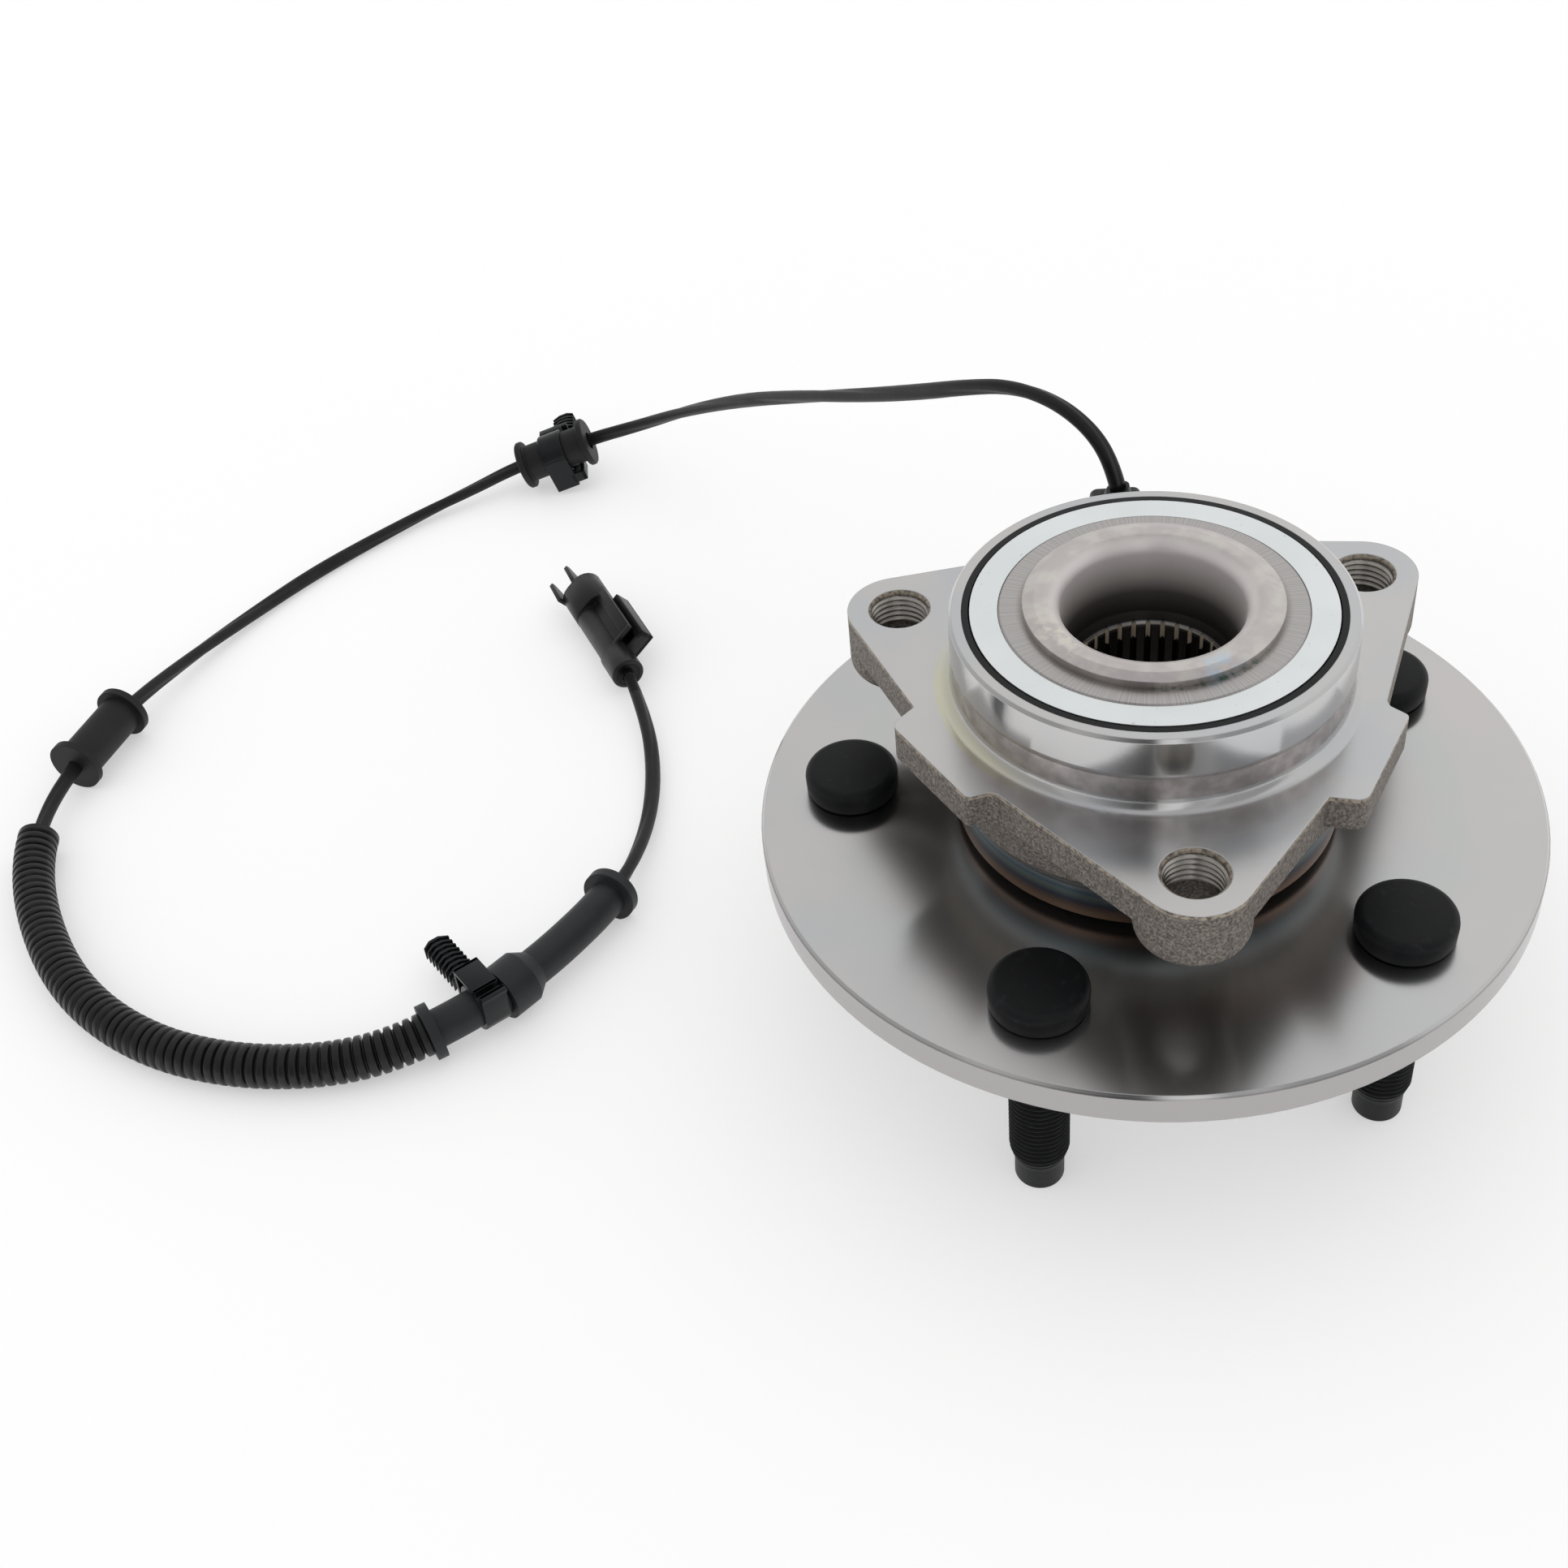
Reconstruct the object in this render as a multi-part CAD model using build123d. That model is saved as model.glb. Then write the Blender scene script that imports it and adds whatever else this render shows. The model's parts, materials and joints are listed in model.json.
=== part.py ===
from build123d import *
import os
from math import cos, pi, radians, sin, tan

# Wheel hub bearing unit with its wheel speed sensor and lead, in millimetres.
# Z is the spin axis. Height zero is the plane of the wheel stud tips; +Z points
# inboard, to the steering knuckle, so the unit stands on its five studs.

# Wheel flange and studs
WHEEL_FACE_Z = 50.65
WHEEL_FLANGE_R = 91.4
WHEEL_FLANGE_THICK = 8.42
FLANGE_CHAMFER = 0.8
STUD_COUNT = 5
STUD_CIRCLE_R = 69.85
STUD_FIRST_ANGLE = -30
STUD_R = 7.0
STUD_TIP_R = 5.75
STUD_TIP_LENGTH = 1.6
STUD_KNURL_R = 7.2
STUD_HEAD_R = 11.17
STUD_HEAD_HEIGHT = 6.4
STUD_HEAD_ROUND = 1.4

# Wheel pilot and the dished recess for the axle nut
WHEEL_PILOT_R = 38.9
WHEEL_PILOT_TIP_Z = 32.0
WHEEL_PILOT_WALL = 5.4
NUT_RECESS_R = 26.0
NUT_RECESS_BEVEL = 6.0
NUT_SEAT_Z = 47.0

# Splined axle bore
SPLINE_TEETH = 33
SPLINE_LAND_R = 17.0
SPLINE_GROOVE_R = 18.22
SPLINE_GROOVE_HALF_WIDTH = 1.0
SPLINE_TOP_Z = 96.45
SPLINE_CHAMFER_HEIGHT = 3.35
BORE_R = 18.9
BORE_MOUTH_R = 20.6
BORE_MOUTH_ROUND = 3.7

# Balls and raceways
BALL_R = 6.35
BALL_COUNT = 14
PITCH_R = 34.3
GROOVE_PLAY = 0.05
OUTBOARD_ROW_Z = 71.5
ROW_SPACING = 30.5
OUTER_LAND_STEP = 1.7
OUTER_MOUTH_STEP = 5.8
INNER_SHOULDER_STEP = 0.4
INNER_LAND_STEP = 4.3

# Inner ring and the rolled lip of the hub that holds it
INNER_RING_SEAT_R = 23.6
INNER_RING_WIDTH = 23.3
INNER_RING_END_Z = 115.9
INNER_RING_CHAMFER = 0.5
LIP_R = 28.5
LIP_EDGE_HEIGHT = 1.7
LIP_CREST_R = 26.0
LIP_CREST_HEIGHT = 2.4

# Outer ring
BARREL_R = 44.4
BARREL_END_GAP = 2.45
BARREL_TURNED_LENGTH = 8.2
FORGED_BODY_R = 48.6
FORGED_WAIST_R = 47.0
KNUCKLE_FACE_Z = 96.0
KNUCKLE_WEB_THICK = 8.6
PILOT_R = 44.8
PILOT_LENGTH = 9.43
PILOT_CHAMFER = 0.7
RELIEF_R = 44.2
RELIEF_BEVEL = 1.7
RELIEF_ROUND = 3.0
OUTER_RING_TOP_Z = 115.5

# Knuckle flange: three bolt lobes with a pad between each pair
LOBE_COUNT = 3
LOBE_FIRST_ANGLE = 45
LOBE_R = 12.4
LOBE_SIDE_ANGLE = 38.5
LOBE_DEPTH = 17.0
LOBE_UNDERSIDE_ROUND = 4.0
WAIST_R = 52.0
BOLT_CIRCLE_R = 63.2
BOLT_HOLE_R = 6.25
BOLT_SINK_R = 7.5
BOLT_SINK_DEPTH = 1.2
PAD_R = 56.2
PAD_START = -20.5
PAD_SHOULDER = 22.6
PAD_SHOULDER_R = 48.5
PAD_END = 9.1
PAD_CORNER_R = 3.0
PAD_NOTCH_R = 50.0
PAD_NOTCH_END = 12.3

# Seals
SEAL_BORE_STEP = 0.9
OUTBOARD_SEAL_DEPTH = 3.3
INBOARD_SEAL_BORE_R = 41.9
INBOARD_SEAL_DEPTH = 5.4
SEAL_STEEL = 0.8
SEAL_RUN_GAP = 0.15
SLINGER_STEEL = 0.7
SLINGER_R = 40.05
SLINGER_PROUD = 0.25
SLINGER_SLEEVE = 5.2
RUBBER_RIM_GAP = 0.35

# Ball cages
CAGE_INNER_R = 30.8
CAGE_OUTER_R = 35.4
CAGE_BACK = 8.4
CAGE_FRONT = 2.8
POCKET_PLAY = 0.2

# Tone ring on the hub, between the ball rows
TONE_RING_R = 33.0
TONE_RING_WIDTH = 6.5
TONE_RING_MIDDLE_Z = 84.2
TONE_TEETH = 47
TONE_TOOTH_DEPTH = 1.1

# Wheel speed sensor
SENSOR_ANGLE = 102.44
SENSOR_AIR_GAP = 1.0
POLE_TIP_R = 3.4
POLE_TIP_LENGTH = 2.5
SENSOR_PLUG_R = 4.8
SENSOR_HOLE_PLAY = 0.1
SENSOR_BOSS_R = 9.0
SENSOR_BOSS_FACE_R = 57.0
SENSOR_PLATE_THICK = 6.0
SENSOR_HEAD_WIDTH = 13.0
SENSOR_HEAD_END_R = 87.0
SENSOR_HEAD_HEIGHT = 11.7
SENSOR_HEAD_TOP_Z = 87.2
SENSOR_HEAD_ROUND = 2.0
O_RING_SETBACK = 6.0
O_RING_SECTION_R = 0.9
SCREW_OFFSET = 14.0
SCREW_R = 3.0
SCREW_LENGTH = 14.0
SCREW_HEAD_R = 5.0
SCREW_HEAD_HEIGHT = 3.6
BUSHING_R = 4.4
BUSHING_PLAY = 0.2
SCREW_BOSS_R = 6.6

# Gland where the lead leaves the sensor
GLAND_COLLAR_R = 5.0
GLAND_COLLAR_HEIGHT = 1.5
GLAND_FOOT_R = 3.9
GLAND_TIP_R = 3.0

# Lead: the route from the sensor to the connector, chosen from the photograph
LEAD_R = 2.2
ROUTE = [
    (-17.3, 78.4, 92.0), (-19.2, 78.5, 99.8), (-24.9, 79.5, 108.6), (-34.4, 82.2, 114.3),
    (-46.4, 87.1, 114.6), (-59.1, 94.5, 108.8), (-73.6, 105.2, 99.8), (-92.5, 121.2, 87.6),
    (-121.0, 150.5, 67.0), (-147.7, 175.4, 48.5), (-174.2, 195.5, 30.0), (-196.5, 206.5, 15.5),
    (-216.0, 204.9, 9.2), (-235.6, 187.0, 8.2), (-248.5, 176.5, 5.2), (-261.3, 165.1, 3.0),
    (-275.1, 145.7, 2.6), (-287.5, 126.3, 2.4), (-298.3, 103.2, 2.6), (-307.0, 77.5, 4.6),
    (-313.0, 46.5, 8.5), (-315.8, 18.5, 8.4), (-315.4, 0.0, 7.0), (-309.8, -18.0, 6.0),
    (-298.1, -36.3, 6.0), (-280.7, -55.1, 6.0), (-262.1, -67.9, 6.0), (-241.6, -75.5, 6.0),
    (-222.5, -77.6, 6.0), (-204.7, -76.0, 6.0), (-189.0, -71.4, 6.2), (-177.0, -64.6, 6.9),
    (-166.7, -55.3, 7.8), (-156.7, -42.9, 7.8), (-148.7, -28.3, 7.8), (-141.9, -11.7, 7.6),
    (-138.6, 6.3, 5.6), (-139.9, 28.0, 3.2), (-145.0, 49.8, 2.8), (-153.2, 69.6, 5.0),
    (-163.4, 85.4, 7.4),
]
ROUTE_CORNER_SHARE = 0.45
GROMMET_1_RUN = 12
GROMMET_2_RUN = 20
CONDUIT_FIRST_RUN = 22
CONDUIT_LAST_RUN = 31
GROMMET_3_NECK_RUN = 32
GROMMET_3_COLLAR_RUN = 33
GROMMET_3_LAST_RUN = 35

# Grommets, clips and conduit on the lead
GROMMET_FLANGE_R = 8.1
GROMMET_FLANGE_THICK = 2.2
GROMMET_BODY_R = 6.2
GROMMET_1_LENGTH = 26.5
GROMMET_2_LENGTH = 27.0
GROMMET_3_BODY_R = 5.1
GROMMET_3_FLANGE_R = 7.5
GROMMET_3_FLANGE_THICK = 2.8
COLLAR_R = 7.45
COLLAR_START = -10.2
COLLAR_CONE_START = -2.2
COLLAR_END = 2.2
COLLAR_BURIED = 0.5
CONDUIT_R = 5.7
CONDUIT_WALL = 1.1
BAND_THICK = 1.1
BAND_WIDTH = 8.0
BAND_SHIFT = -1.5
TAB_LENGTH = 9.0
TAB_THICK = 2.4
POST_R = 2.1
POST_LENGTH = 13.0
FIN_R = 3.9
FIN_THICK = 0.7
FIN_COUNT = 6
FIN_PITCH = 1.7
TREE_1_POST_LENGTH = 10.5
UMBRELLA_R = 5.6
UMBRELLA_THICK = 1.2
BLOCK_WIDTH = 13.6
BLOCK_LENGTH = 8.0
BLOCK_SHIFT = 0.3

# Connector
CONNECTOR_MOUTH = (-195.8, 125.8, 7.4)
CONNECTOR_CAP_R = 5.6
CONNECTOR_CAP_LENGTH = 11.0
CONNECTOR_BARREL_R = 5.2
CONNECTOR_COLLAR_START = 30.0
CONNECTOR_COLLAR_END = 45.0
CONNECTOR_COLLAR_WIDTH = 14.0
CONNECTOR_COLLAR_HEIGHT = 10.6
CONNECTOR_WALL = 1.3
CONNECTOR_CAVITY_DEPTH = 12.0
PRONG_WIDTH = 1.4
PRONG_HEIGHT = 4.2
PRONG_OFFSET = 5.2
RAIL_START = 10.0
RAIL_END = 33.0
RAIL_REACH = 12.4
RAIL_HEIGHT = 7.6
RAIL_SLOT_WIDTH = 2.6
RAIL_SLOT_DEPTH = 4.6
TERMINAL_COUNT = 2
TERMINAL_SPACING = 3.8
TERMINAL_R = 0.8
TERMINAL_LENGTH = 15.0
SEAL_PLUG_R = 3.8
SEAL_PLUG_LENGTH = 6.0

# Heights and radii that follow from the sizes above
FLANGE_TOP_Z = WHEEL_FACE_Z + WHEEL_FLANGE_THICK
INBOARD_ROW_Z = OUTBOARD_ROW_Z + ROW_SPACING
GROOVE_R = BALL_R + GROOVE_PLAY
OUTER_LAND_R = PITCH_R + OUTER_LAND_STEP
OUTER_MOUTH_R = PITCH_R + OUTER_MOUTH_STEP
INNER_SHOULDER_R = PITCH_R - INNER_SHOULDER_STEP
INNER_LAND_R = PITCH_R - INNER_LAND_STEP
INNER_RING_START_Z = INNER_RING_END_Z - INNER_RING_WIDTH
BARREL_END_Z = FLANGE_TOP_Z + BARREL_END_GAP
OUTBOARD_SEAL_BORE_R = OUTER_MOUTH_R + SEAL_BORE_STEP
WEB_UNDERSIDE_Z = KNUCKLE_FACE_Z - KNUCKLE_WEB_THICK
LIP_CREST_Z = INNER_RING_END_Z + LIP_CREST_HEIGHT


def turned(outline, rounds=()):
    """A body of revolution about Z from (radius, height) corners, some of them rounded."""
    face = make_face(Polyline(*outline, close=True))
    for corner, radius in rounds:
        face = fillet(face.vertices().sort_by_distance(Vector(*corner))[0], radius)
    return revolve(Plane.XZ * face, Axis.Z)


def turned_on(plane, outline):
    """The same about the normal of a plane, from (radius, distance) corners."""
    return plane.location * turned(outline)


def ring(inner_r, outer_r, low_z, high_z):
    """A plain ring about Z."""
    return turned([(inner_r, low_z), (outer_r, low_z), (outer_r, high_z), (inner_r, high_z)])


def disc(radius, low_z, high_z):
    """A plain cylinder about Z between two heights."""
    return Pos(0, 0, low_z) * extrude(Circle(radius), high_z - low_z)


def groove(row_z):
    """The ring that a ball row sweeps out of its raceways."""
    return turned_circle(PITCH_R, row_z, GROOVE_R)


def turned_circle(middle_r, middle_z, radius):
    """A ring of round section about Z."""
    return revolve(Plane.XZ * (Pos(middle_r, middle_z) * Circle(radius)), Axis.Z)


# Hub side: everything that turns with the wheel

def spline_cutter():
    """Axle bore with one V groove for each spline tooth."""
    half = SPLINE_GROOVE_HALF_WIDTH
    top = SPLINE_TOP_Z + SPLINE_CHAMFER_HEIGHT / 2
    foot = SPLINE_LAND_R - half / 2
    vee = make_face(Polyline((foot, -half), (SPLINE_GROOVE_R, 0), (foot, half), close=True))
    section = Circle(SPLINE_LAND_R) + PolarLocations(0, SPLINE_TEETH) * vee
    return Pos(0, 0, NUT_SEAT_Z) * extrude(section, top - NUT_SEAT_Z)


def hub_flange():
    """Forged hub: wheel pilot, wheel flange, outboard raceway, inner ring seat and rolled lip."""
    c = FLANGE_CHAMFER
    pilot_bore = WHEEL_PILOT_R - WHEEL_PILOT_WALL
    cone_top = SPLINE_TOP_Z + SPLINE_CHAMFER_HEIGHT
    outline = [
        (pilot_bore, WHEEL_PILOT_TIP_Z), (WHEEL_PILOT_R - c, WHEEL_PILOT_TIP_Z),
        (WHEEL_PILOT_R, WHEEL_PILOT_TIP_Z + c), (WHEEL_PILOT_R, WHEEL_FACE_Z),
        (WHEEL_FLANGE_R - c, WHEEL_FACE_Z), (WHEEL_FLANGE_R, WHEEL_FACE_Z + c),
        (WHEEL_FLANGE_R, FLANGE_TOP_Z - c), (WHEEL_FLANGE_R - c, FLANGE_TOP_Z),
        (INNER_SHOULDER_R, FLANGE_TOP_Z), (INNER_SHOULDER_R, OUTBOARD_ROW_Z),
        (INNER_LAND_R, OUTBOARD_ROW_Z), (INNER_LAND_R, INNER_RING_START_Z),
        (INNER_RING_SEAT_R, INNER_RING_START_Z), (INNER_RING_SEAT_R, INNER_RING_END_Z),
        (LIP_R, INNER_RING_END_Z), (LIP_R, INNER_RING_END_Z + LIP_EDGE_HEIGHT),
        (LIP_CREST_R, LIP_CREST_Z), (BORE_MOUTH_R, LIP_CREST_Z),
        (BORE_R, cone_top), (SPLINE_LAND_R, SPLINE_TOP_Z), (SPLINE_LAND_R, NUT_SEAT_Z),
        (NUT_RECESS_R, NUT_SEAT_Z), (pilot_bore, NUT_SEAT_Z - NUT_RECESS_BEVEL),
    ]
    rounds = [
        ((INNER_SHOULDER_R, FLANGE_TOP_Z), 2.5),
        ((BORE_MOUTH_R, LIP_CREST_Z), BORE_MOUTH_ROUND),
        ((WHEEL_PILOT_R, WHEEL_FACE_Z), 1.0),
    ]
    hub = turned(outline, rounds) - groove(OUTBOARD_ROW_Z) - spline_cutter()
    hole = Pos(STUD_CIRCLE_R, 0, WHEEL_FACE_Z) * extrude(Circle(STUD_KNURL_R), WHEEL_FLANGE_THICK)
    return hub - PolarLocations(0, STUD_COUNT, STUD_FIRST_ANGLE) * hole


def wheel_stud(index):
    """One pressed stud: rounded head, knurled neck, threaded shank and turned-down tip."""
    chamfer = STUD_R - STUD_TIP_R
    head_top = FLANGE_TOP_Z + STUD_HEAD_HEIGHT
    outline = [
        (0, 0), (STUD_TIP_R - 0.5, 0), (STUD_TIP_R, 0.5), (STUD_TIP_R, STUD_TIP_LENGTH),
        (STUD_R, STUD_TIP_LENGTH + chamfer), (STUD_R, WHEEL_FACE_Z),
        (STUD_KNURL_R, WHEEL_FACE_Z), (STUD_KNURL_R, FLANGE_TOP_Z),
        (STUD_HEAD_R - 0.4, FLANGE_TOP_Z), (STUD_HEAD_R, FLANGE_TOP_Z + STUD_HEAD_HEIGHT / 3),
        (STUD_HEAD_R, head_top), (0, head_top),
    ]
    stud = turned(outline, [((STUD_HEAD_R, head_top), STUD_HEAD_ROUND)])
    angle = STUD_FIRST_ANGLE + index * 360 / STUD_COUNT
    return Rot(0, 0, angle) * Pos(STUD_CIRCLE_R, 0, 0) * stud


def inner_ring():
    """Separate inboard inner ring, held by the rolled lip."""
    c = INNER_RING_CHAMFER
    outline = [
        (INNER_RING_SEAT_R, INNER_RING_START_Z), (INNER_LAND_R - c, INNER_RING_START_Z),
        (INNER_LAND_R, INNER_RING_START_Z + c), (INNER_LAND_R, INBOARD_ROW_Z),
        (INNER_SHOULDER_R, INBOARD_ROW_Z), (INNER_SHOULDER_R, INNER_RING_END_Z - c),
        (INNER_SHOULDER_R - c, INNER_RING_END_Z), (INNER_RING_SEAT_R, INNER_RING_END_Z),
    ]
    return turned(outline) - groove(INBOARD_ROW_Z)


def tone_ring():
    """Toothed ring that the sensor reads."""
    low = TONE_RING_MIDDLE_Z - TONE_RING_WIDTH / 2
    high = TONE_RING_MIDDLE_Z + TONE_RING_WIDTH / 2
    gap_width = pi * TONE_RING_R / TONE_TEETH
    gap = Pos(TONE_RING_R, 0, low) * extrude(Rectangle(2 * TONE_TOOTH_DEPTH, gap_width), high - low)
    return ring(INNER_LAND_R, TONE_RING_R, low, high) - PolarLocations(0, TONE_TEETH) * gap


def inboard_slinger():
    """Bright plated flinger pressed on the inner ring; its flat face closes the bearing."""
    top = INNER_RING_END_Z - SLINGER_PROUD
    sleeve_r = INNER_SHOULDER_R + SLINGER_STEEL
    outline = [
        (INNER_SHOULDER_R, top - SLINGER_SLEEVE), (sleeve_r, top - SLINGER_SLEEVE),
        (sleeve_r, top - SLINGER_STEEL), (SLINGER_R, top - SLINGER_STEEL),
        (SLINGER_R, top), (INNER_SHOULDER_R, top),
    ]
    return turned(outline)


# Ball rows and cages, which follow the hub at less than half its speed

def ball_row(row_z):
    """One row of balls."""
    ball = Pos(0, 0, row_z) * Sphere(BALL_R)
    return Part() + PolarLocations(PITCH_R, BALL_COUNT) * ball


def cage(row_z, inward):
    """Snap cage: a solid back towards the middle of the bearing, open pockets the other way."""
    ends = sorted([row_z + inward * CAGE_BACK, row_z - inward * CAGE_FRONT])
    body = ring(CAGE_INNER_R, CAGE_OUTER_R, ends[0], ends[1])
    pocket = Pos(0, 0, row_z) * Sphere(BALL_R + POCKET_PLAY)
    return body - PolarLocations(PITCH_R, BALL_COUNT) * pocket


# Knuckle side: outer ring, seals and sensor

def lobe_section(tail_r, tail_half_width):
    """A bolt lobe in its own frame: the tip arc, and two sides that widen to the tail."""
    side = radians(LOBE_SIDE_ANGLE)
    x = BOLT_CIRCLE_R + LOBE_R * sin(side)
    y = LOBE_R * cos(side)
    sides = [(x, y), (tail_r, tail_half_width), (0, 0), (tail_r, -tail_half_width), (x, -y)]
    return make_face(Polyline(*sides, close=True)) + Pos(BOLT_CIRCLE_R, 0) * Circle(LOBE_R)


def pad_section():
    """The machined pad between two lobes, square on one side and notched on the other."""
    outline = [
        (OUTER_MOUTH_R, -PAD_SHOULDER), (PAD_SHOULDER_R, -PAD_SHOULDER), (PAD_R, PAD_START),
        (PAD_R, PAD_END), (PAD_NOTCH_R + 1.5, PAD_NOTCH_END - 1.8), (PAD_NOTCH_R, PAD_NOTCH_END),
        (OUTER_MOUTH_R, PAD_NOTCH_END),
    ]
    face = make_face(Polyline(*outline, close=True))
    for corner, radius in (((PAD_R, PAD_START), PAD_CORNER_R), ((PAD_R, PAD_END), PAD_CORNER_R / 2)):
        face = fillet(face.vertices().sort_by_distance(Vector(*corner))[0], radius)
    return face


def knuckle_flange():
    """Three lobes and three pads, with a deep rounded boss under each bolt hole."""
    step = 360 / LOBE_COUNT
    waist = radians(step / 2)
    lobe = lobe_section(WAIST_R * cos(waist), WAIST_R * sin(waist))
    section = Sketch() + PolarLocations(0, LOBE_COUNT, LOBE_FIRST_ANGLE) * lobe
    section = section + PolarLocations(0, LOBE_COUNT, LOBE_FIRST_ANGLE + step / 2) * pad_section()
    web = Pos(0, 0, WEB_UNDERSIDE_Z) * extrude(section, KNUCKLE_WEB_THICK)
    boss = extrude(lobe_section(OUTER_MOUTH_R, LOBE_R * 1.2), LOBE_DEPTH)
    boss = fillet(boss.edges().group_by(Axis.Z)[0], LOBE_UNDERSIDE_ROUND)
    boss = Pos(0, 0, KNUCKLE_FACE_Z - LOBE_DEPTH) * boss
    return web + PolarLocations(0, LOBE_COUNT, LOBE_FIRST_ANGLE) * boss


def bolt_hole():
    """Tapped hole with its countersink."""
    depth = LOBE_DEPTH + 1
    outline = [
        (0, -depth), (BOLT_HOLE_R, -depth), (BOLT_HOLE_R, -BOLT_SINK_DEPTH),
        (BOLT_SINK_R, 0), (BOLT_SINK_R, 1), (0, 1),
    ]
    return Pos(BOLT_CIRCLE_R, 0, KNUCKLE_FACE_Z) * turned(outline)


def outer_ring_turned():
    """Turned body of the outer ring, from the barrel end to the knuckle pilot."""
    seal_floor_z = BARREL_END_Z + OUTBOARD_SEAL_DEPTH
    turned_end_z = BARREL_END_Z + BARREL_TURNED_LENGTH
    pilot_low_z = OUTER_RING_TOP_Z - PILOT_LENGTH
    inboard_floor_z = OUTER_RING_TOP_Z - INBOARD_SEAL_DEPTH
    c = PILOT_CHAMFER
    outline = [
        (OUTBOARD_SEAL_BORE_R, BARREL_END_Z), (BARREL_R, BARREL_END_Z),
        (BARREL_R, turned_end_z), (FORGED_WAIST_R, turned_end_z + 4.5),
        (FORGED_BODY_R, WEB_UNDERSIDE_Z), (FORGED_BODY_R, KNUCKLE_FACE_Z),
        (RELIEF_R, KNUCKLE_FACE_Z), (RELIEF_R, pilot_low_z - RELIEF_BEVEL),
        (PILOT_R, pilot_low_z), (PILOT_R, OUTER_RING_TOP_Z - c),
        (PILOT_R - c, OUTER_RING_TOP_Z), (INBOARD_SEAL_BORE_R, OUTER_RING_TOP_Z),
        (INBOARD_SEAL_BORE_R, inboard_floor_z), (OUTER_MOUTH_R, inboard_floor_z),
        (OUTER_MOUTH_R, INBOARD_ROW_Z), (OUTER_LAND_R, INBOARD_ROW_Z),
        (OUTER_LAND_R, OUTBOARD_ROW_Z), (OUTER_MOUTH_R, OUTBOARD_ROW_Z),
        (OUTER_MOUTH_R, seal_floor_z), (OUTBOARD_SEAL_BORE_R, seal_floor_z),
    ]
    return turned(outline, [((RELIEF_R, KNUCKLE_FACE_Z), RELIEF_ROUND)])


def sensor_plane(distance, offset=0.0):
    """A plane across the sensor axis at a distance from the spin axis; X is level, Y is up."""
    angle = radians(SENSOR_ANGLE)
    out = Vector(cos(angle), sin(angle), 0)
    level = Vector(-sin(angle), cos(angle), 0)
    return Plane(origin=out * distance + level * offset + Vector(0, 0, TONE_RING_MIDDLE_Z), x_dir=level, z_dir=out)


def two_boss_outline(first_r, second_r):
    """Two round bosses, one at the sensor and one at its screw, joined by straight sides."""
    bridge = Pos(SCREW_OFFSET / 2, 0) * Rectangle(SCREW_OFFSET, 2 * min(first_r, second_r))
    return Circle(first_r) + Pos(SCREW_OFFSET, 0) * Circle(second_r) + bridge


def outer_ring():
    """Stationary ring with both outer raceways, the knuckle flange and the sensor boss."""
    flange = knuckle_flange() - disc(OUTER_MOUTH_R + SEAL_BORE_STEP, 0, OUTER_RING_TOP_Z)
    body = outer_ring_turned() + flange
    boss_depth = SENSOR_BOSS_FACE_R - OUTER_MOUTH_R - SEAL_BORE_STEP
    boss = extrude(two_boss_outline(SENSOR_BOSS_R, SCREW_BOSS_R), -boss_depth)
    boss = sensor_plane(SENSOR_BOSS_FACE_R).location * boss
    boss = boss - disc(OUTER_MOUTH_R, 0, OUTER_RING_TOP_Z)
    body = body + boss - groove(OUTBOARD_ROW_Z) - groove(INBOARD_ROW_Z)
    body = body - PolarLocations(0, LOBE_COUNT, LOBE_FIRST_ANGLE) * bolt_hole()
    bore_depth = SENSOR_BOSS_FACE_R - PITCH_R
    bore = extrude(Circle(SENSOR_PLUG_R + SENSOR_HOLE_PLAY), -bore_depth)
    screw_hole = extrude(Circle(SCREW_R), SENSOR_PLATE_THICK - SCREW_LENGTH)
    body = body - sensor_plane(SENSOR_BOSS_FACE_R).location * bore
    return body - sensor_plane(SENSOR_BOSS_FACE_R, SCREW_OFFSET).location * screw_hole


def outboard_seal_case():
    """Steel shell pressed in the barrel end."""
    low = BARREL_END_Z + SEAL_STEEL
    floor = BARREL_END_Z + OUTBOARD_SEAL_DEPTH
    outer = OUTBOARD_SEAL_BORE_R
    outline = [
        (outer - SEAL_STEEL, low), (outer, low), (outer, floor), (OUTER_LAND_R, floor),
        (OUTER_LAND_R, floor - SEAL_STEEL), (outer - SEAL_STEEL, floor - SEAL_STEEL),
    ]
    return turned(outline)


def outboard_seal_rubber():
    """Rubber bonded in the outboard shell, with one lip to the hub and one to its flange."""
    top = BARREL_END_Z + OUTBOARD_SEAL_DEPTH - SEAL_STEEL
    outer = OUTBOARD_SEAL_BORE_R - SEAL_STEEL
    run_r = INNER_SHOULDER_R + SEAL_RUN_GAP
    outline = [
        (outer, BARREL_END_Z + SEAL_STEEL), (outer, top), (OUTER_LAND_R, top),
        (run_r, top + SEAL_STEEL), (run_r, top - SEAL_STEEL), (OUTER_LAND_R, top - 1.3),
        (OUTER_LAND_R + 2.2, FLANGE_TOP_Z + 2 * SEAL_RUN_GAP),
        (OUTER_LAND_R + 2.8, FLANGE_TOP_Z + 2 * SEAL_RUN_GAP), (OUTER_LAND_R + 1.4, top - 1.3),
        (outer - 1.2, top - 1.3), (outer - 1.2, BARREL_END_Z + SEAL_STEEL),
    ]
    return turned(outline)


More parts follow.
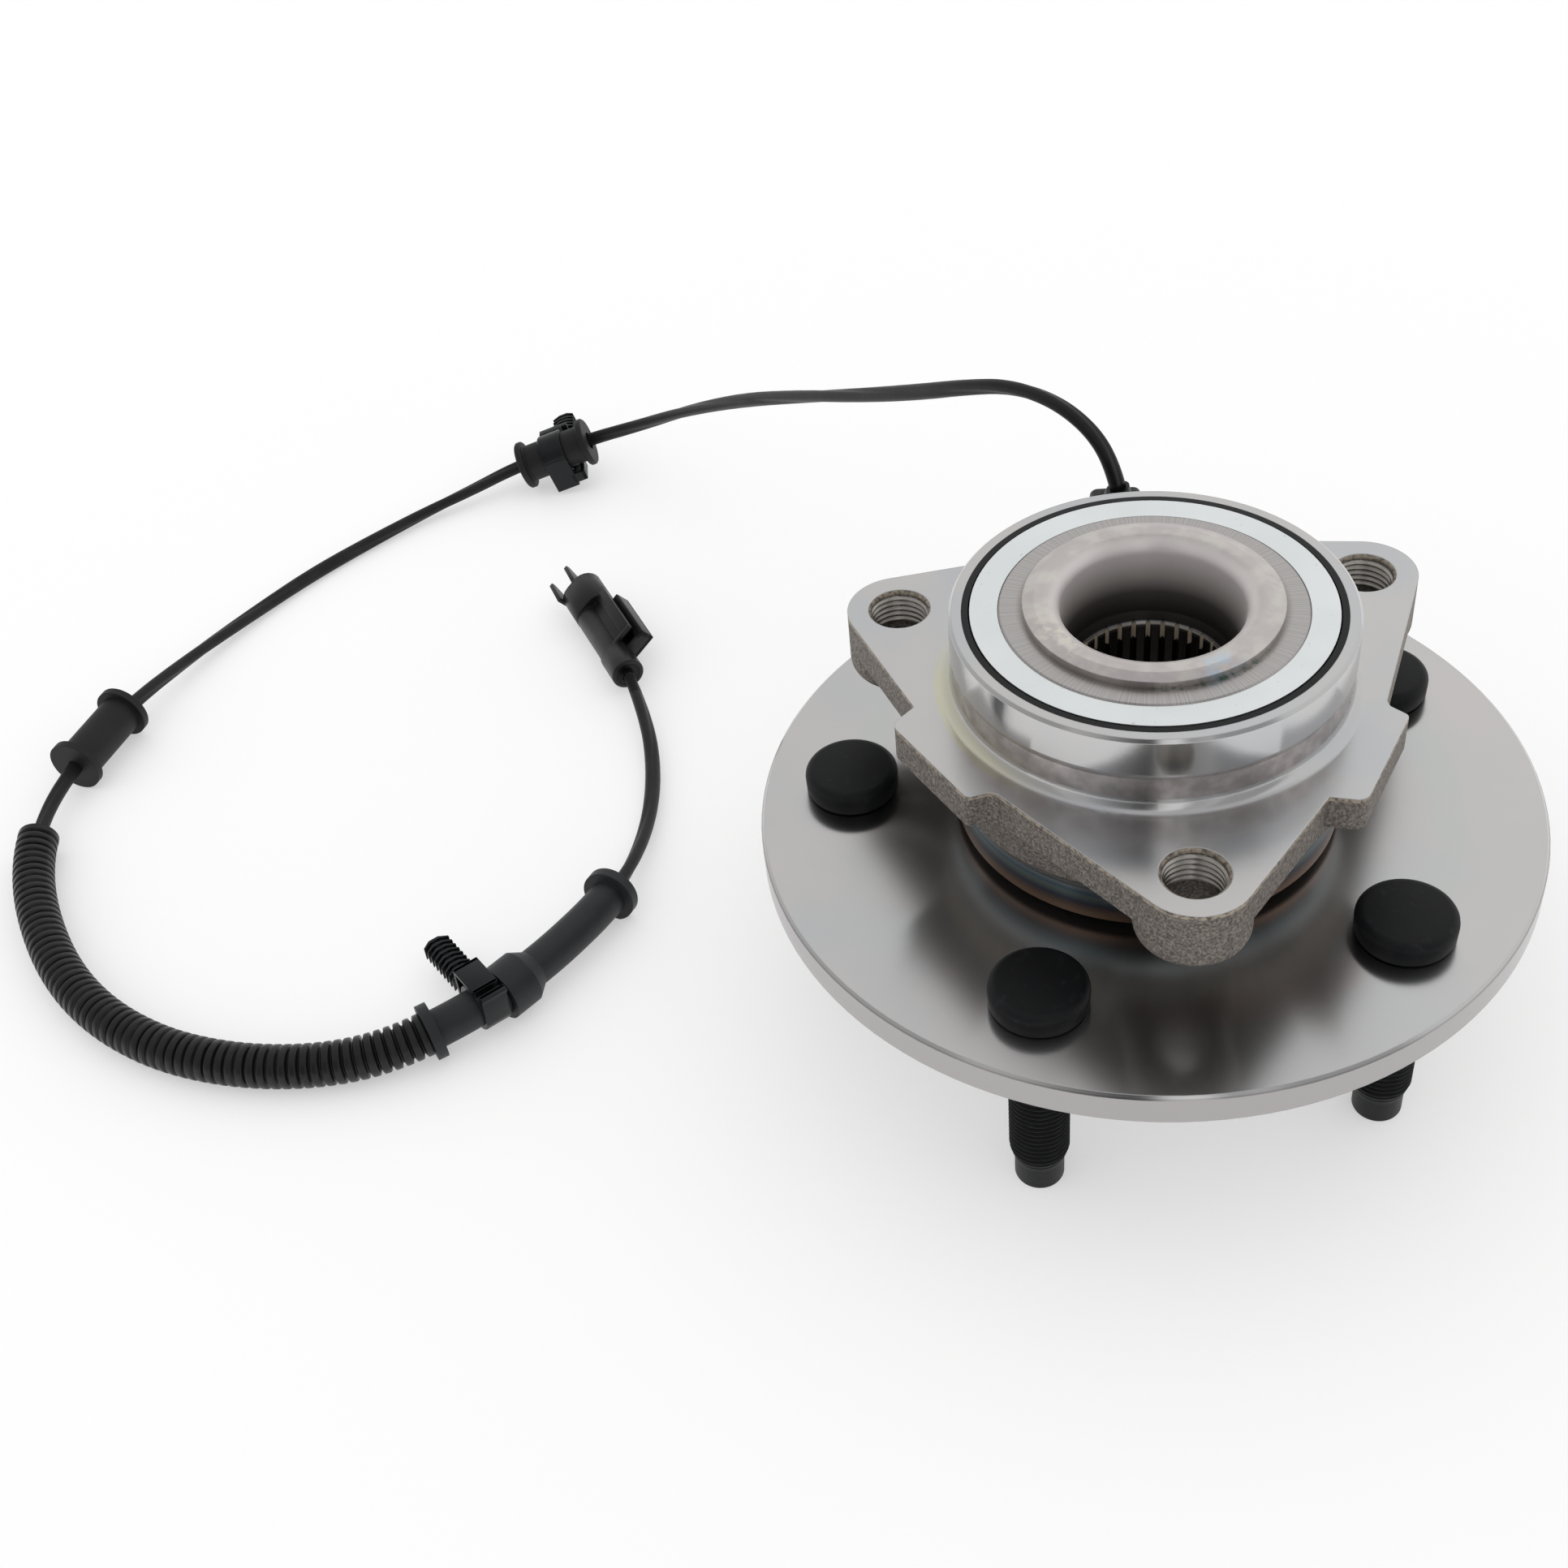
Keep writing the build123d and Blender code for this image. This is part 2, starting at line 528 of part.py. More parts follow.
def inboard_seal_case():
    """Steel shell pressed in the knuckle end."""
    floor = OUTER_RING_TOP_Z - INBOARD_SEAL_DEPTH
    outer = INBOARD_SEAL_BORE_R
    outline = [
        (OUTER_LAND_R, floor), (outer, floor), (outer, OUTER_RING_TOP_Z - SEAL_STEEL),
        (outer - SEAL_STEEL, OUTER_RING_TOP_Z - SEAL_STEEL), (outer - SEAL_STEEL, floor + SEAL_STEEL),
        (OUTER_LAND_R, floor + SEAL_STEEL),
    ]
    return turned(outline)


def inboard_seal_rubber():
    """Rubber bonded in the inboard shell; its rim shows as a black ring round the flinger."""
    floor = OUTER_RING_TOP_Z - INBOARD_SEAL_DEPTH + SEAL_STEEL
    outer = INBOARD_SEAL_BORE_R
    rim_z = OUTER_RING_TOP_Z - SEAL_STEEL
    rim_r = SLINGER_R + RUBBER_RIM_GAP
    run_r = INNER_SHOULDER_R + SLINGER_STEEL + SEAL_RUN_GAP
    outline = [
        (outer - SEAL_STEEL, floor), (outer - SEAL_STEEL, rim_z), (outer, rim_z),
        (outer, OUTER_RING_TOP_Z), (rim_r, OUTER_RING_TOP_Z), (rim_r, floor + 1.1),
        (OUTER_LAND_R + 1.6, floor + 1.1), (OUTER_LAND_R, floor + 2.6), (OUTER_LAND_R - 0.5, floor + 2.4),
        (OUTER_LAND_R + 0.2, floor + 0.9), (run_r, floor + 0.4), (run_r, floor - SEAL_STEEL),
        (OUTER_LAND_R, floor - SEAL_STEEL), (OUTER_LAND_R, floor),
    ]
    return turned(outline)


# Sensor

def sensor_pole_tip():
    """Magnet and pole piece at the end of the plug, an air gap away from the tone ring."""
    start = TONE_RING_R + SENSOR_AIR_GAP
    return sensor_plane(start).location * extrude(Circle(POLE_TIP_R), POLE_TIP_LENGTH)


def sensor_body():
    """Moulded sensor: plug, mounting plate, and the head that carries the gland."""
    start = TONE_RING_R + SENSOR_AIR_GAP + POLE_TIP_LENGTH
    plug = sensor_plane(start).location * extrude(Circle(SENSOR_PLUG_R), SENSOR_BOSS_FACE_R - start)
    slot = turned([
        (SENSOR_PLUG_R - O_RING_SECTION_R, -O_RING_SECTION_R), (SENSOR_PLUG_R + 1, -O_RING_SECTION_R),
        (SENSOR_PLUG_R + 1, O_RING_SECTION_R), (SENSOR_PLUG_R - O_RING_SECTION_R, O_RING_SECTION_R),
    ])
    plug = plug - sensor_plane(SENSOR_BOSS_FACE_R - O_RING_SETBACK).location * slot
    plate = extrude(two_boss_outline(SENSOR_BOSS_R - 1, SCREW_BOSS_R), SENSOR_PLATE_THICK)
    plate = sensor_plane(SENSOR_BOSS_FACE_R).location * plate
    head_start = SENSOR_BOSS_FACE_R + SENSOR_PLATE_THICK
    middle = SENSOR_HEAD_TOP_Z - SENSOR_HEAD_HEIGHT / 2 - TONE_RING_MIDDLE_Z
    section = Pos(0, middle) * RectangleRounded(SENSOR_HEAD_WIDTH, SENSOR_HEAD_HEIGHT, SENSOR_HEAD_ROUND)
    head = sensor_plane(head_start).location * extrude(section, SENSOR_HEAD_END_R - head_start)
    hole = sensor_plane(SENSOR_BOSS_FACE_R, SCREW_OFFSET).location * extrude(Circle(BUSHING_R), SENSOR_PLATE_THICK)
    body = plug + plate + head - hole
    return body


def sensor_o_ring():
    """O-ring in the slot of the plug."""
    section = Pos(SENSOR_PLUG_R, 0) * Circle(O_RING_SECTION_R)
    whole = sensor_plane(SENSOR_BOSS_FACE_R - O_RING_SETBACK).location * revolve(Plane.XZ * section, Axis.Z)
    outside = sensor_plane(SENSOR_BOSS_FACE_R - O_RING_SETBACK).location * ring(
        SENSOR_PLUG_R + SENSOR_HOLE_PLAY, SENSOR_PLUG_R + 2, -2, 2)
    return whole - outside


def sensor_bushing():
    """Steel sleeve that takes the clamp load of the screw."""
    sleeve = extrude(Circle(BUSHING_R) - Circle(SCREW_R + BUSHING_PLAY), SENSOR_PLATE_THICK)
    return sensor_plane(SENSOR_BOSS_FACE_R, SCREW_OFFSET).location * sleeve


def sensor_screw():
    """Hexagon screw that holds the plate to its boss."""
    shank = extrude(Circle(SCREW_R), -SCREW_LENGTH)
    head = extrude(RegularPolygon(SCREW_HEAD_R, 6, major_radius=False), SCREW_HEAD_HEIGHT)
    face_r = SENSOR_BOSS_FACE_R + SENSOR_PLATE_THICK
    return sensor_plane(face_r, SCREW_OFFSET).location * (shank + head)


# Lead and what is on it

def run_direction(run):
    """Unit vector of the run that starts at a route point."""
    return (Vector(*ROUTE[run + 1]) - Vector(*ROUTE[run])).normalized()


def run_middle(run):
    """Middle of a run, where the lead follows it exactly."""
    return (Vector(*ROUTE[run + 1]) + Vector(*ROUTE[run])) / 2


def run_plane(run, shift=0.0):
    """A plane across a run; its normal follows the lead and its Y direction is up."""
    ahead = run_direction(run)
    level = Vector(0, 0, 1).cross(ahead).normalized()
    return Plane(origin=run_middle(run) + ahead * shift, x_dir=level * -1, z_dir=ahead)


def corner_radii():
    """The largest round that the two runs at each inner route point allow."""
    radii = []
    for before, here, after in zip(ROUTE, ROUTE[1:], ROUTE[2:]):
        arrive = Vector(*here) - Vector(*before)
        leave = Vector(*after) - Vector(*here)
        half_turn = radians(arrive.get_angle(leave)) / 2
        radii.append(ROUTE_CORNER_SHARE * min(arrive.length, leave.length) / tan(half_turn))
    return radii


def lead_path(first_run=None, last_run=None):
    """Straight runs joined by tangent arcs, for the whole lead or between two run middles."""
    radii = corner_radii()
    if first_run is None:
        return FilletPolyline(*ROUTE, radius=radii)
    points = [run_middle(first_run), *ROUTE[first_run + 1:last_run + 1], run_middle(last_run)]
    return FilletPolyline(*points, radius=radii[first_run:last_run])


def tube(path, radius):
    """A round bar along a path."""
    return sweep(Plane(origin=path @ 0, z_dir=path % 0) * Circle(radius), path=path)


def sensor_cable():
    """The whole lead, from the gland to the connector."""
    return tube(lead_path(), LEAD_R)


def cable_gland():
    """Collar on the sensor head and a short taper that hands over to the lead."""
    top = Plane(origin=ROUTE[0], z_dir=run_direction(0))
    collar_top = SENSOR_HEAD_TOP_Z + GLAND_COLLAR_HEIGHT
    foot = Plane(origin=(ROUTE[0][0], ROUTE[0][1], collar_top))
    taper = loft([foot * Circle(GLAND_FOOT_R), top * Circle(GLAND_TIP_R)])
    collar = Pos(ROUTE[0][0], ROUTE[0][1], SENSOR_HEAD_TOP_Z) * extrude(Circle(GLAND_COLLAR_R), GLAND_COLLAR_HEIGHT)
    return collar + taper


def spool(run, length):
    """Rubber grommet: two flanges on a round body, with the lead through it."""
    half = length / 2
    inner = half - GROMMET_FLANGE_THICK
    outline = [
        (0, -half), (GROMMET_FLANGE_R, -half), (GROMMET_FLANGE_R, -inner), (GROMMET_BODY_R, -inner),
        (GROMMET_BODY_R, inner), (GROMMET_FLANGE_R, inner), (GROMMET_FLANGE_R, half), (0, half),
    ]
    return turned_on(run_plane(run), outline)


def grommet_3():
    """Long sleeve with end flanges, and the coned collar that the second clip sits against."""
    path = lead_path(CONDUIT_LAST_RUN, GROMMET_3_LAST_RUN)
    sleeve = tube(path, GROMMET_3_BODY_R)
    start = [(0, 0), (GROMMET_3_FLANGE_R, 0), (GROMMET_3_FLANGE_R, GROMMET_3_FLANGE_THICK), (0, GROMMET_3_FLANGE_THICK)]
    end = [(radius, -distance) for radius, distance in start]
    collar = [
        (0, COLLAR_START), (COLLAR_R, COLLAR_START), (COLLAR_R, COLLAR_CONE_START),
        (GROMMET_3_BODY_R - COLLAR_BURIED, COLLAR_END), (0, COLLAR_END),
    ]
    body = sleeve + turned_on(run_plane(CONDUIT_LAST_RUN), start)
    body = body + turned_on(run_plane(GROMMET_3_LAST_RUN), end)
    return body + turned_on(run_plane(GROMMET_3_COLLAR_RUN), collar)


def conduit():
    """Corrugated sleeve over the lead, up to the face of the third grommet."""
    path = lead_path(CONDUIT_FIRST_RUN, CONDUIT_LAST_RUN)
    return tube(path, CONDUIT_R) - tube(path, CONDUIT_R - CONDUIT_WALL)


def fir_tree(plane, length):
    """A push-in post with a row of thin fins, standing on a plane."""
    post = extrude(Circle(POST_R), length)
    fin = turned([(0, 0), (FIN_R, -FIN_THICK), (FIN_R, 0), (POST_R / 2, FIN_THICK), (0, FIN_THICK)])
    for number in range(FIN_COUNT):
        post = post + Pos(0, 0, length - number * FIN_PITCH) * fin
    return plane.location * post


def clip_1():
    """Band round the first grommet, with a tail tab and an umbrella post."""
    plane = run_plane(GROMMET_1_RUN, BAND_SHIFT)
    outer = GROMMET_BODY_R + BAND_THICK
    half = BAND_WIDTH / 2
    band = turned_on(plane, [(GROMMET_BODY_R, -half), (outer, -half), (outer, half), (GROMMET_BODY_R, half)])
    tab = Pos(-outer * 0.7 - TAB_LENGTH / 2, -GROMMET_BODY_R + TAB_THICK / 2, 0) * Box(TAB_LENGTH, TAB_THICK, BAND_WIDTH)
    tab = tab - Cylinder(GROMMET_BODY_R + BAND_THICK / 2, 2 * BAND_WIDTH)
    up = Vector(0, 0, 1)
    post_plane = Plane(origin=plane.origin + up * (outer - BAND_THICK / 2), z_dir=up)
    rim = -2 * UMBRELLA_THICK
    cap = [(0, -UMBRELLA_THICK), (UMBRELLA_R, rim), (UMBRELLA_R, rim / 2), (POST_R, 0), (0, 0)]
    post = extrude(Circle(POST_R), TREE_1_POST_LENGTH) + Pos(0, 0, TREE_1_POST_LENGTH) * turned(cap)
    return band + plane.location * tab + post_plane.location * post


def clip_2():
    """Square clamp block round the third grommet, with a fir-tree post."""
    plane = run_plane(GROMMET_3_NECK_RUN, BLOCK_SHIFT)
    block = Box(BLOCK_WIDTH, BLOCK_WIDTH, BLOCK_LENGTH)
    block = block - Cylinder(GROMMET_3_BODY_R, 2 * BLOCK_LENGTH)
    side = plane.x_dir * -1
    post_plane = Plane(origin=plane.origin + side * (BLOCK_WIDTH / 2 - 0.5), z_dir=side)
    return plane.location * block + fir_tree(post_plane, POST_LENGTH)


# Connector

def connector_plane(distance=0.0):
    """A plane across the connector; its normal points to the mouth and Y is up."""
    rear = Vector(*ROUTE[-1])
    ahead = (Vector(*CONNECTOR_MOUTH) - rear).normalized()
    level = ahead.cross(Vector(0, 0, 1)).normalized()
    return Plane(origin=rear + ahead * distance, x_dir=level, z_dir=ahead)


def connector_length():
    """From the rear cap to the tips of the prongs."""
    return (Vector(*CONNECTOR_MOUTH) - Vector(*ROUTE[-1])).length


def connector_housing():
    """Moulded housing: rear cap, barrel, oval collar with its socket, prongs and side rail."""
    cap = extrude(Circle(CONNECTOR_CAP_R), CONNECTOR_CAP_LENGTH)
    barrel = extrude(Circle(CONNECTOR_BARREL_R), CONNECTOR_COLLAR_END)
    depth = CONNECTOR_COLLAR_END - CONNECTOR_COLLAR_START
    oval = SlotOverall(CONNECTOR_COLLAR_WIDTH, CONNECTOR_COLLAR_HEIGHT)
    collar = Pos(0, 0, CONNECTOR_COLLAR_START) * extrude(oval, depth)
    mouth = SlotOverall(CONNECTOR_COLLAR_WIDTH - 2 * CONNECTOR_WALL, CONNECTOR_COLLAR_HEIGHT - 2 * CONNECTOR_WALL)
    cavity = Pos(0, 0, CONNECTOR_COLLAR_END) * extrude(mouth, -CONNECTOR_CAVITY_DEPTH)
    rail_length = RAIL_END - RAIL_START
    rail = Pos(RAIL_REACH / 2, 0, RAIL_START + rail_length / 2) * Box(RAIL_REACH, RAIL_HEIGHT, rail_length)
    slot_x = RAIL_REACH - RAIL_SLOT_WIDTH * 1.3
    slot = Pos(slot_x, RAIL_HEIGHT / 2, RAIL_START + rail_length / 2 + 2) * Box(RAIL_SLOT_WIDTH, 2 * RAIL_SLOT_DEPTH, rail_length)
    prong_length = connector_length() - CONNECTOR_COLLAR_END
    prong = extrude(Rectangle(PRONG_WIDTH, PRONG_HEIGHT), prong_length, taper=8)
    prongs = [Pos(x, 0, CONNECTOR_COLLAR_END - 0.5) * prong for x in (-PRONG_OFFSET, PRONG_OFFSET)]
    bore = Pos(0, 0, -0.5) * extrude(Circle(SEAL_PLUG_R), SEAL_PLUG_LENGTH + 0.5)
    body = cap + barrel + collar + (rail - slot) + prongs - cavity - bore
    return connector_plane().location * body


def connector_rear_seal():
    """Rubber plug that seals the lead in the rear cap."""
    return connector_plane().location * extrude(Circle(SEAL_PLUG_R), SEAL_PLUG_LENGTH)


def connector_terminals():
    """Two round pins in the socket."""
    start = CONNECTOR_COLLAR_END - CONNECTOR_CAVITY_DEPTH
    pin = extrude(Circle(TERMINAL_R), TERMINAL_LENGTH - CONNECTOR_CAVITY_DEPTH / 2)
    pins = Part() + GridLocations(TERMINAL_SPACING, 1, TERMINAL_COUNT, 1) * pin
    return connector_plane(start).location * pins


def main():
    """Builds every piece and writes one file for each."""
    os.makedirs("parts", exist_ok=True)
    cable = sensor_cable()
    grommet_3_body = grommet_3() - cable
    nodes = {
        "hub_flange": hub_flange(),
        "inner_ring": inner_ring(),
        "tone_ring": tone_ring(),
        "inboard_slinger": inboard_slinger(),
        "outboard_balls": ball_row(OUTBOARD_ROW_Z),
        "inboard_balls": ball_row(INBOARD_ROW_Z),
        "outboard_cage": cage(OUTBOARD_ROW_Z, 1),
        "inboard_cage": cage(INBOARD_ROW_Z, -1),
        "outer_ring": outer_ring(),
        "outboard_seal_case": outboard_seal_case(),
        "outboard_seal_rubber": outboard_seal_rubber(),
        "inboard_seal_case": inboard_seal_case(),
        "inboard_seal_rubber": inboard_seal_rubber(),
        "sensor_body": sensor_body(),
        "sensor_pole_tip": sensor_pole_tip(),
        "sensor_o_ring": sensor_o_ring(),
        "sensor_bushing": sensor_bushing(),
        "sensor_screw": sensor_screw(),
        "cable_gland": cable_gland(),
        "sensor_cable": cable,
        "grommet_1": spool(GROMMET_1_RUN, GROMMET_1_LENGTH) - cable,
        "grommet_2": spool(GROMMET_2_RUN, GROMMET_2_LENGTH) - cable,
        "grommet_3": grommet_3_body,
        "conduit": conduit(),
        "clip_1": clip_1(),
        "clip_2": clip_2() - grommet_3_body,
        "connector_housing": connector_housing(),
        "connector_rear_seal": connector_rear_seal() - cable,
        "connector_terminals": connector_terminals(),
    }
    for index in range(STUD_COUNT):
        nodes[f"wheel_stud_{index + 1}"] = wheel_stud(index)
    for name, shape in nodes.items():
        solids = shape.solids() if not isinstance(shape, Solid) else [shape]
        export_step(Compound(children=list(solids)) if len(solids) > 1 else solids[0], f"parts/{name}.step")
    print("lead", round(lead_path().length, 1), "mm, tightest bend", round(min(corner_radii()), 1), "mm")
    print("corner radii", [round(radius) for radius in corner_radii()])


main()
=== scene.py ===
# %% [markdown]
# # A wheel hub bearing with its wheel speed sensor lead
# A hub bearing carries a car's wheel. The hub turns on two rows of balls inside an outer
# ring that is bolted to the steering knuckle, and a sensor in the outer ring counts the
# teeth of a ring on the hub. This notebook dresses the plain solids of that part: it gives
# them their finishes and adds the small forms that solids leave out, such as threads and
# the ribs of the conduit.
#
# The solids arrive as fixed objects in metres. Z is the spin axis, and the part stands on
# the tips of its five wheel studs.

import json
from math import cos, pi, radians, sin

import bmesh
import bpy
from mathutils import Matrix, Vector

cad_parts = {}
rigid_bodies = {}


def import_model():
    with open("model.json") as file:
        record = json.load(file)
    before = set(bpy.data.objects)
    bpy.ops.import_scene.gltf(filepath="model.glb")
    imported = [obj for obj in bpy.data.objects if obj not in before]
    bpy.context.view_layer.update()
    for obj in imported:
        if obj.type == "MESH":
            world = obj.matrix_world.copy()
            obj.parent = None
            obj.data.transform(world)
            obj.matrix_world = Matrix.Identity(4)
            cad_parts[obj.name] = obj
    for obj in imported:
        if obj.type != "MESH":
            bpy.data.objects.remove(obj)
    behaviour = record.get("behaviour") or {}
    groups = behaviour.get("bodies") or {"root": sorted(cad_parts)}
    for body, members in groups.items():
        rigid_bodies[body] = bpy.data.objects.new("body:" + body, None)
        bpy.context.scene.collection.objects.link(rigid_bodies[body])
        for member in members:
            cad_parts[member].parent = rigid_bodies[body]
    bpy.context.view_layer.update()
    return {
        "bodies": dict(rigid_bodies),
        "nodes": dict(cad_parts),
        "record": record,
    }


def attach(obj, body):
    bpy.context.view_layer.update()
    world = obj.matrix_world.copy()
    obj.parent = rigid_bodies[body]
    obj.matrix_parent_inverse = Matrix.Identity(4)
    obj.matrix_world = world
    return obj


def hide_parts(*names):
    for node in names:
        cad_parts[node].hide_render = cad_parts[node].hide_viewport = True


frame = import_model()
solids = frame["nodes"]
MM = 0.001
print("solids:", len(solids), "in bodies", ", ".join(frame["bodies"]))

# %% [markdown]
# ## Camera
# The camera stands where the photographer stood. Its place and its three angles were fitted
# to the circles of the part: a circle of known size in a picture says where the lens was.
# The rest of the notebook is judged through this camera, so it comes first.

# %% The photographer's camera
CAMERA_PLACE = Vector((33.403, -363.255, 396.914)) * MM
CAMERA_YAW, CAMERA_PITCH, CAMERA_ROLL = -0.326, -0.735, -0.117
FOCAL_PIXELS = 2544.475
PICTURE_PIXELS = 1932
SENSOR_MM = 36

ahead = Vector((
    sin(CAMERA_YAW) * cos(CAMERA_PITCH), cos(CAMERA_YAW) * cos(CAMERA_PITCH), sin(CAMERA_PITCH)))
level = ahead.cross(Vector((0, 0, 1))).normalized()
upright = level.cross(ahead)
right = level * cos(CAMERA_ROLL) + upright * sin(CAMERA_ROLL)
above = upright * cos(CAMERA_ROLL) - level * sin(CAMERA_ROLL)

lens = bpy.data.cameras.new("photo_camera")
lens.sensor_width = SENSOR_MM
lens.lens = FOCAL_PIXELS / PICTURE_PIXELS * SENSOR_MM
camera = bpy.data.objects.new("photo_camera", lens)
camera.matrix_world = Matrix((
    (right.x, above.x, -ahead.x, CAMERA_PLACE.x),
    (right.y, above.y, -ahead.y, CAMERA_PLACE.y),
    (right.z, above.z, -ahead.z, CAMERA_PLACE.z),
    (0, 0, 0, 1)))
bpy.context.scene.collection.objects.link(camera)
bpy.context.scene.camera = camera
print("lens", round(lens.lens, 1), "mm")

# %% [markdown]
# ## Node arithmetic
# Finishes, threads and ribs are mostly arithmetic on the position of a point: how far it is
# from the axis, how high it is, and some noise. Written as nodes that is hard to read, so
# this small class lets ordinary Python operators add the Math nodes.

# %% A value in a node tree
class Value:
    """An output of a node that takes part in Python arithmetic."""

    def __init__(self, owner, socket):
        self.owner = owner
        self.socket = socket

    def __add__(self, other):
        return self.owner.math("ADD", self, other)

    def __radd__(self, other):
        return self.owner.math("ADD", other, self)

    def __sub__(self, other):
        return self.owner.math("SUBTRACT", self, other)

    def __rsub__(self, other):
        return self.owner.math("SUBTRACT", other, self)

    def __mul__(self, other):
        return self.owner.math("MULTIPLY", self, other)

    def __rmul__(self, other):
        return self.owner.math("MULTIPLY", other, self)

    def __truediv__(self, other):
        return self.owner.math("DIVIDE", self, other)

    def __pow__(self, other):
        return self.owner.math("POWER", self, other)


class Tree:
    """Any node tree: shader, world or geometry."""

    def __init__(self, tree):
        self.tree = tree

    def node(self, kind, settings=None, inputs=None, out=0):
        """Adds any node: its settings first, then the values or links of its sockets."""
        node = self.tree.nodes.new(kind)
        for name, setting in (settings or {}).items():
            setattr(node, name, setting)
        for name, value in (inputs or {}).items():
            socket = node.inputs[name]
            if isinstance(value, Value):
                self.tree.links.new(value.socket, socket)
            else:
                socket.default_value = value
        return Value(self, node.outputs[out])

    def math(self, operation, *values):
        return self.node("ShaderNodeMath", {"operation": operation}, dict(enumerate(values)))

    def parts(self, vector):
        """The three coordinates of a vector."""
        split = self.tree.nodes.new("ShaderNodeSeparateXYZ")
        self.tree.links.new(vector.socket, split.inputs[0])
        return [Value(self, split.outputs[axis]) for axis in "XYZ"]

    def between(self, value, low, high):
        """0 below low, 1 above high and a smooth rise between them."""
        return self.node("ShaderNodeMapRange", {"interpolation_type": "SMOOTHSTEP"},
                         {"Value": value, "From Min": low, "From Max": high})

    def band(self, value, low, high, soft):
        """1 between two values, with soft ends."""
        return self.between(value, low - soft, low) * (1 - self.between(value, high, high + soft))

    def ramp(self, value, stops):
        """A grey level or a colour for each stop, and straight lines between them."""
        ramp = self.tree.nodes.new("ShaderNodeValToRGB")
        elements = ramp.color_ramp.elements
        while len(elements) < len(stops):
            elements.new(1.0)
        for element, (place, tone) in zip(elements, stops):
            element.position = place
            element.color = (*tone, 1.0) if isinstance(tone, tuple) else (tone, tone, tone, 1.0)
        self.tree.links.new(value.socket, ramp.inputs["Fac"])
        return Value(self, ramp.outputs["Color"])

    def blend(self, mask, first, second):
        """A colour that goes from the first to the second as the mask goes from 0 to 1."""
        def plain(color):
            return color if isinstance(color, Value) else (*color, 1.0)
        return self.node("ShaderNodeMix", {"data_type": "RGBA"}, {
            0: mask, 6: plain(first), 7: plain(second)}, 2)

    def end(self, output, surface):
        """Links a surface to a new output node."""
        self.tree.links.new(surface.socket, self.tree.nodes.new(output).inputs["Surface"])


# %% A finish
class Finish(Tree):
    """A material that is being made. Its coordinates are the object's own, in metres."""

    def __init__(self, name):
        self.material = bpy.data.materials.new(name)
        self.material.use_nodes = True
        super().__init__(self.material.node_tree)
        self.tree.nodes.clear()
        self.place = self.node("ShaderNodeTexCoord", out="Object")
        self.x, self.y, self.z = self.parts(self.place)
        self.radius = self.math("SQRT", self.x * self.x + self.y * self.y)

    def noise(self, scale, detail=2.0, roughness=0.5):
        return self.node("ShaderNodeTexNoise", None, {
            "Vector": self.place, "Scale": scale, "Detail": detail, "Roughness": roughness}, "Fac")

    def streaks(self, along, detail):
        """Noise that only changes along one value."""
        return self.node("ShaderNodeTexNoise", {"noise_dimensions": "1D"}, {
            "W": along, "Scale": 1.0, "Detail": detail}, "Fac")

    def lines(self, per_metre, detail=2.0):
        """Noise that only changes outwards and upwards, as the marks of a lathe tool do."""
        return self.streaks((self.radius + self.z * 0.7) * per_metre, detail)

    def distance(self, point):
        """How far it is to a point given in millimetres."""
        return self.node("ShaderNodeVectorMath", {"operation": "DISTANCE"}, {
            0: self.place, 1: tuple(c * MM for c in point)}, "Value")

    def near(self, point, low, high):
        """1 near a point and 0 beyond the second distance from it."""
        return 1 - self.between(self.distance(point), low * MM, high * MM)

    def mix(self, mask, first, second):
        """A number that goes from the first to the second as the mask goes from 0 to 1."""
        return first + (second - first) * mask

    def bump(self, height, depth, edge=0.0, strength=1.0):
        """Relief in metres; an edge radius in millimetres also softens sharp edges."""
        sockets = {"Height": height, "Distance": depth, "Strength": strength}
        if edge:
            sockets["Normal"] = self.node("ShaderNodeBevel", {"samples": 6}, {"Radius": edge * MM})
        return self.node("ShaderNodeBump", None, sockets)

    def done(self, **sockets):
        """Ends the material in a Principled surface with these inputs."""
        named = {name.replace("_", " "): value for name, value in sockets.items()}
        self.end("ShaderNodeOutputMaterial", self.node("ShaderNodeBsdfPrincipled", None, named))
        return self.material


# The highlight of turned steel is long across the tool's marks and short along them
TURNED = {"Anisotropic": 0.75, "Anisotropic_Rotation": 0.25}

# %% [markdown]
# ## Steel
# The real unit is one bearing, but each surface was left by another tool. The forging's
# sides are as they came from the die, brown and grainy. The flange faces, the pilot and the
# relief were turned on a lathe, which leaves fine rings. The barrel was hardened by
# induction, and the heat left a line of colours that runs from blue to copper.
# The finishes tell the surfaces apart by height and radius.

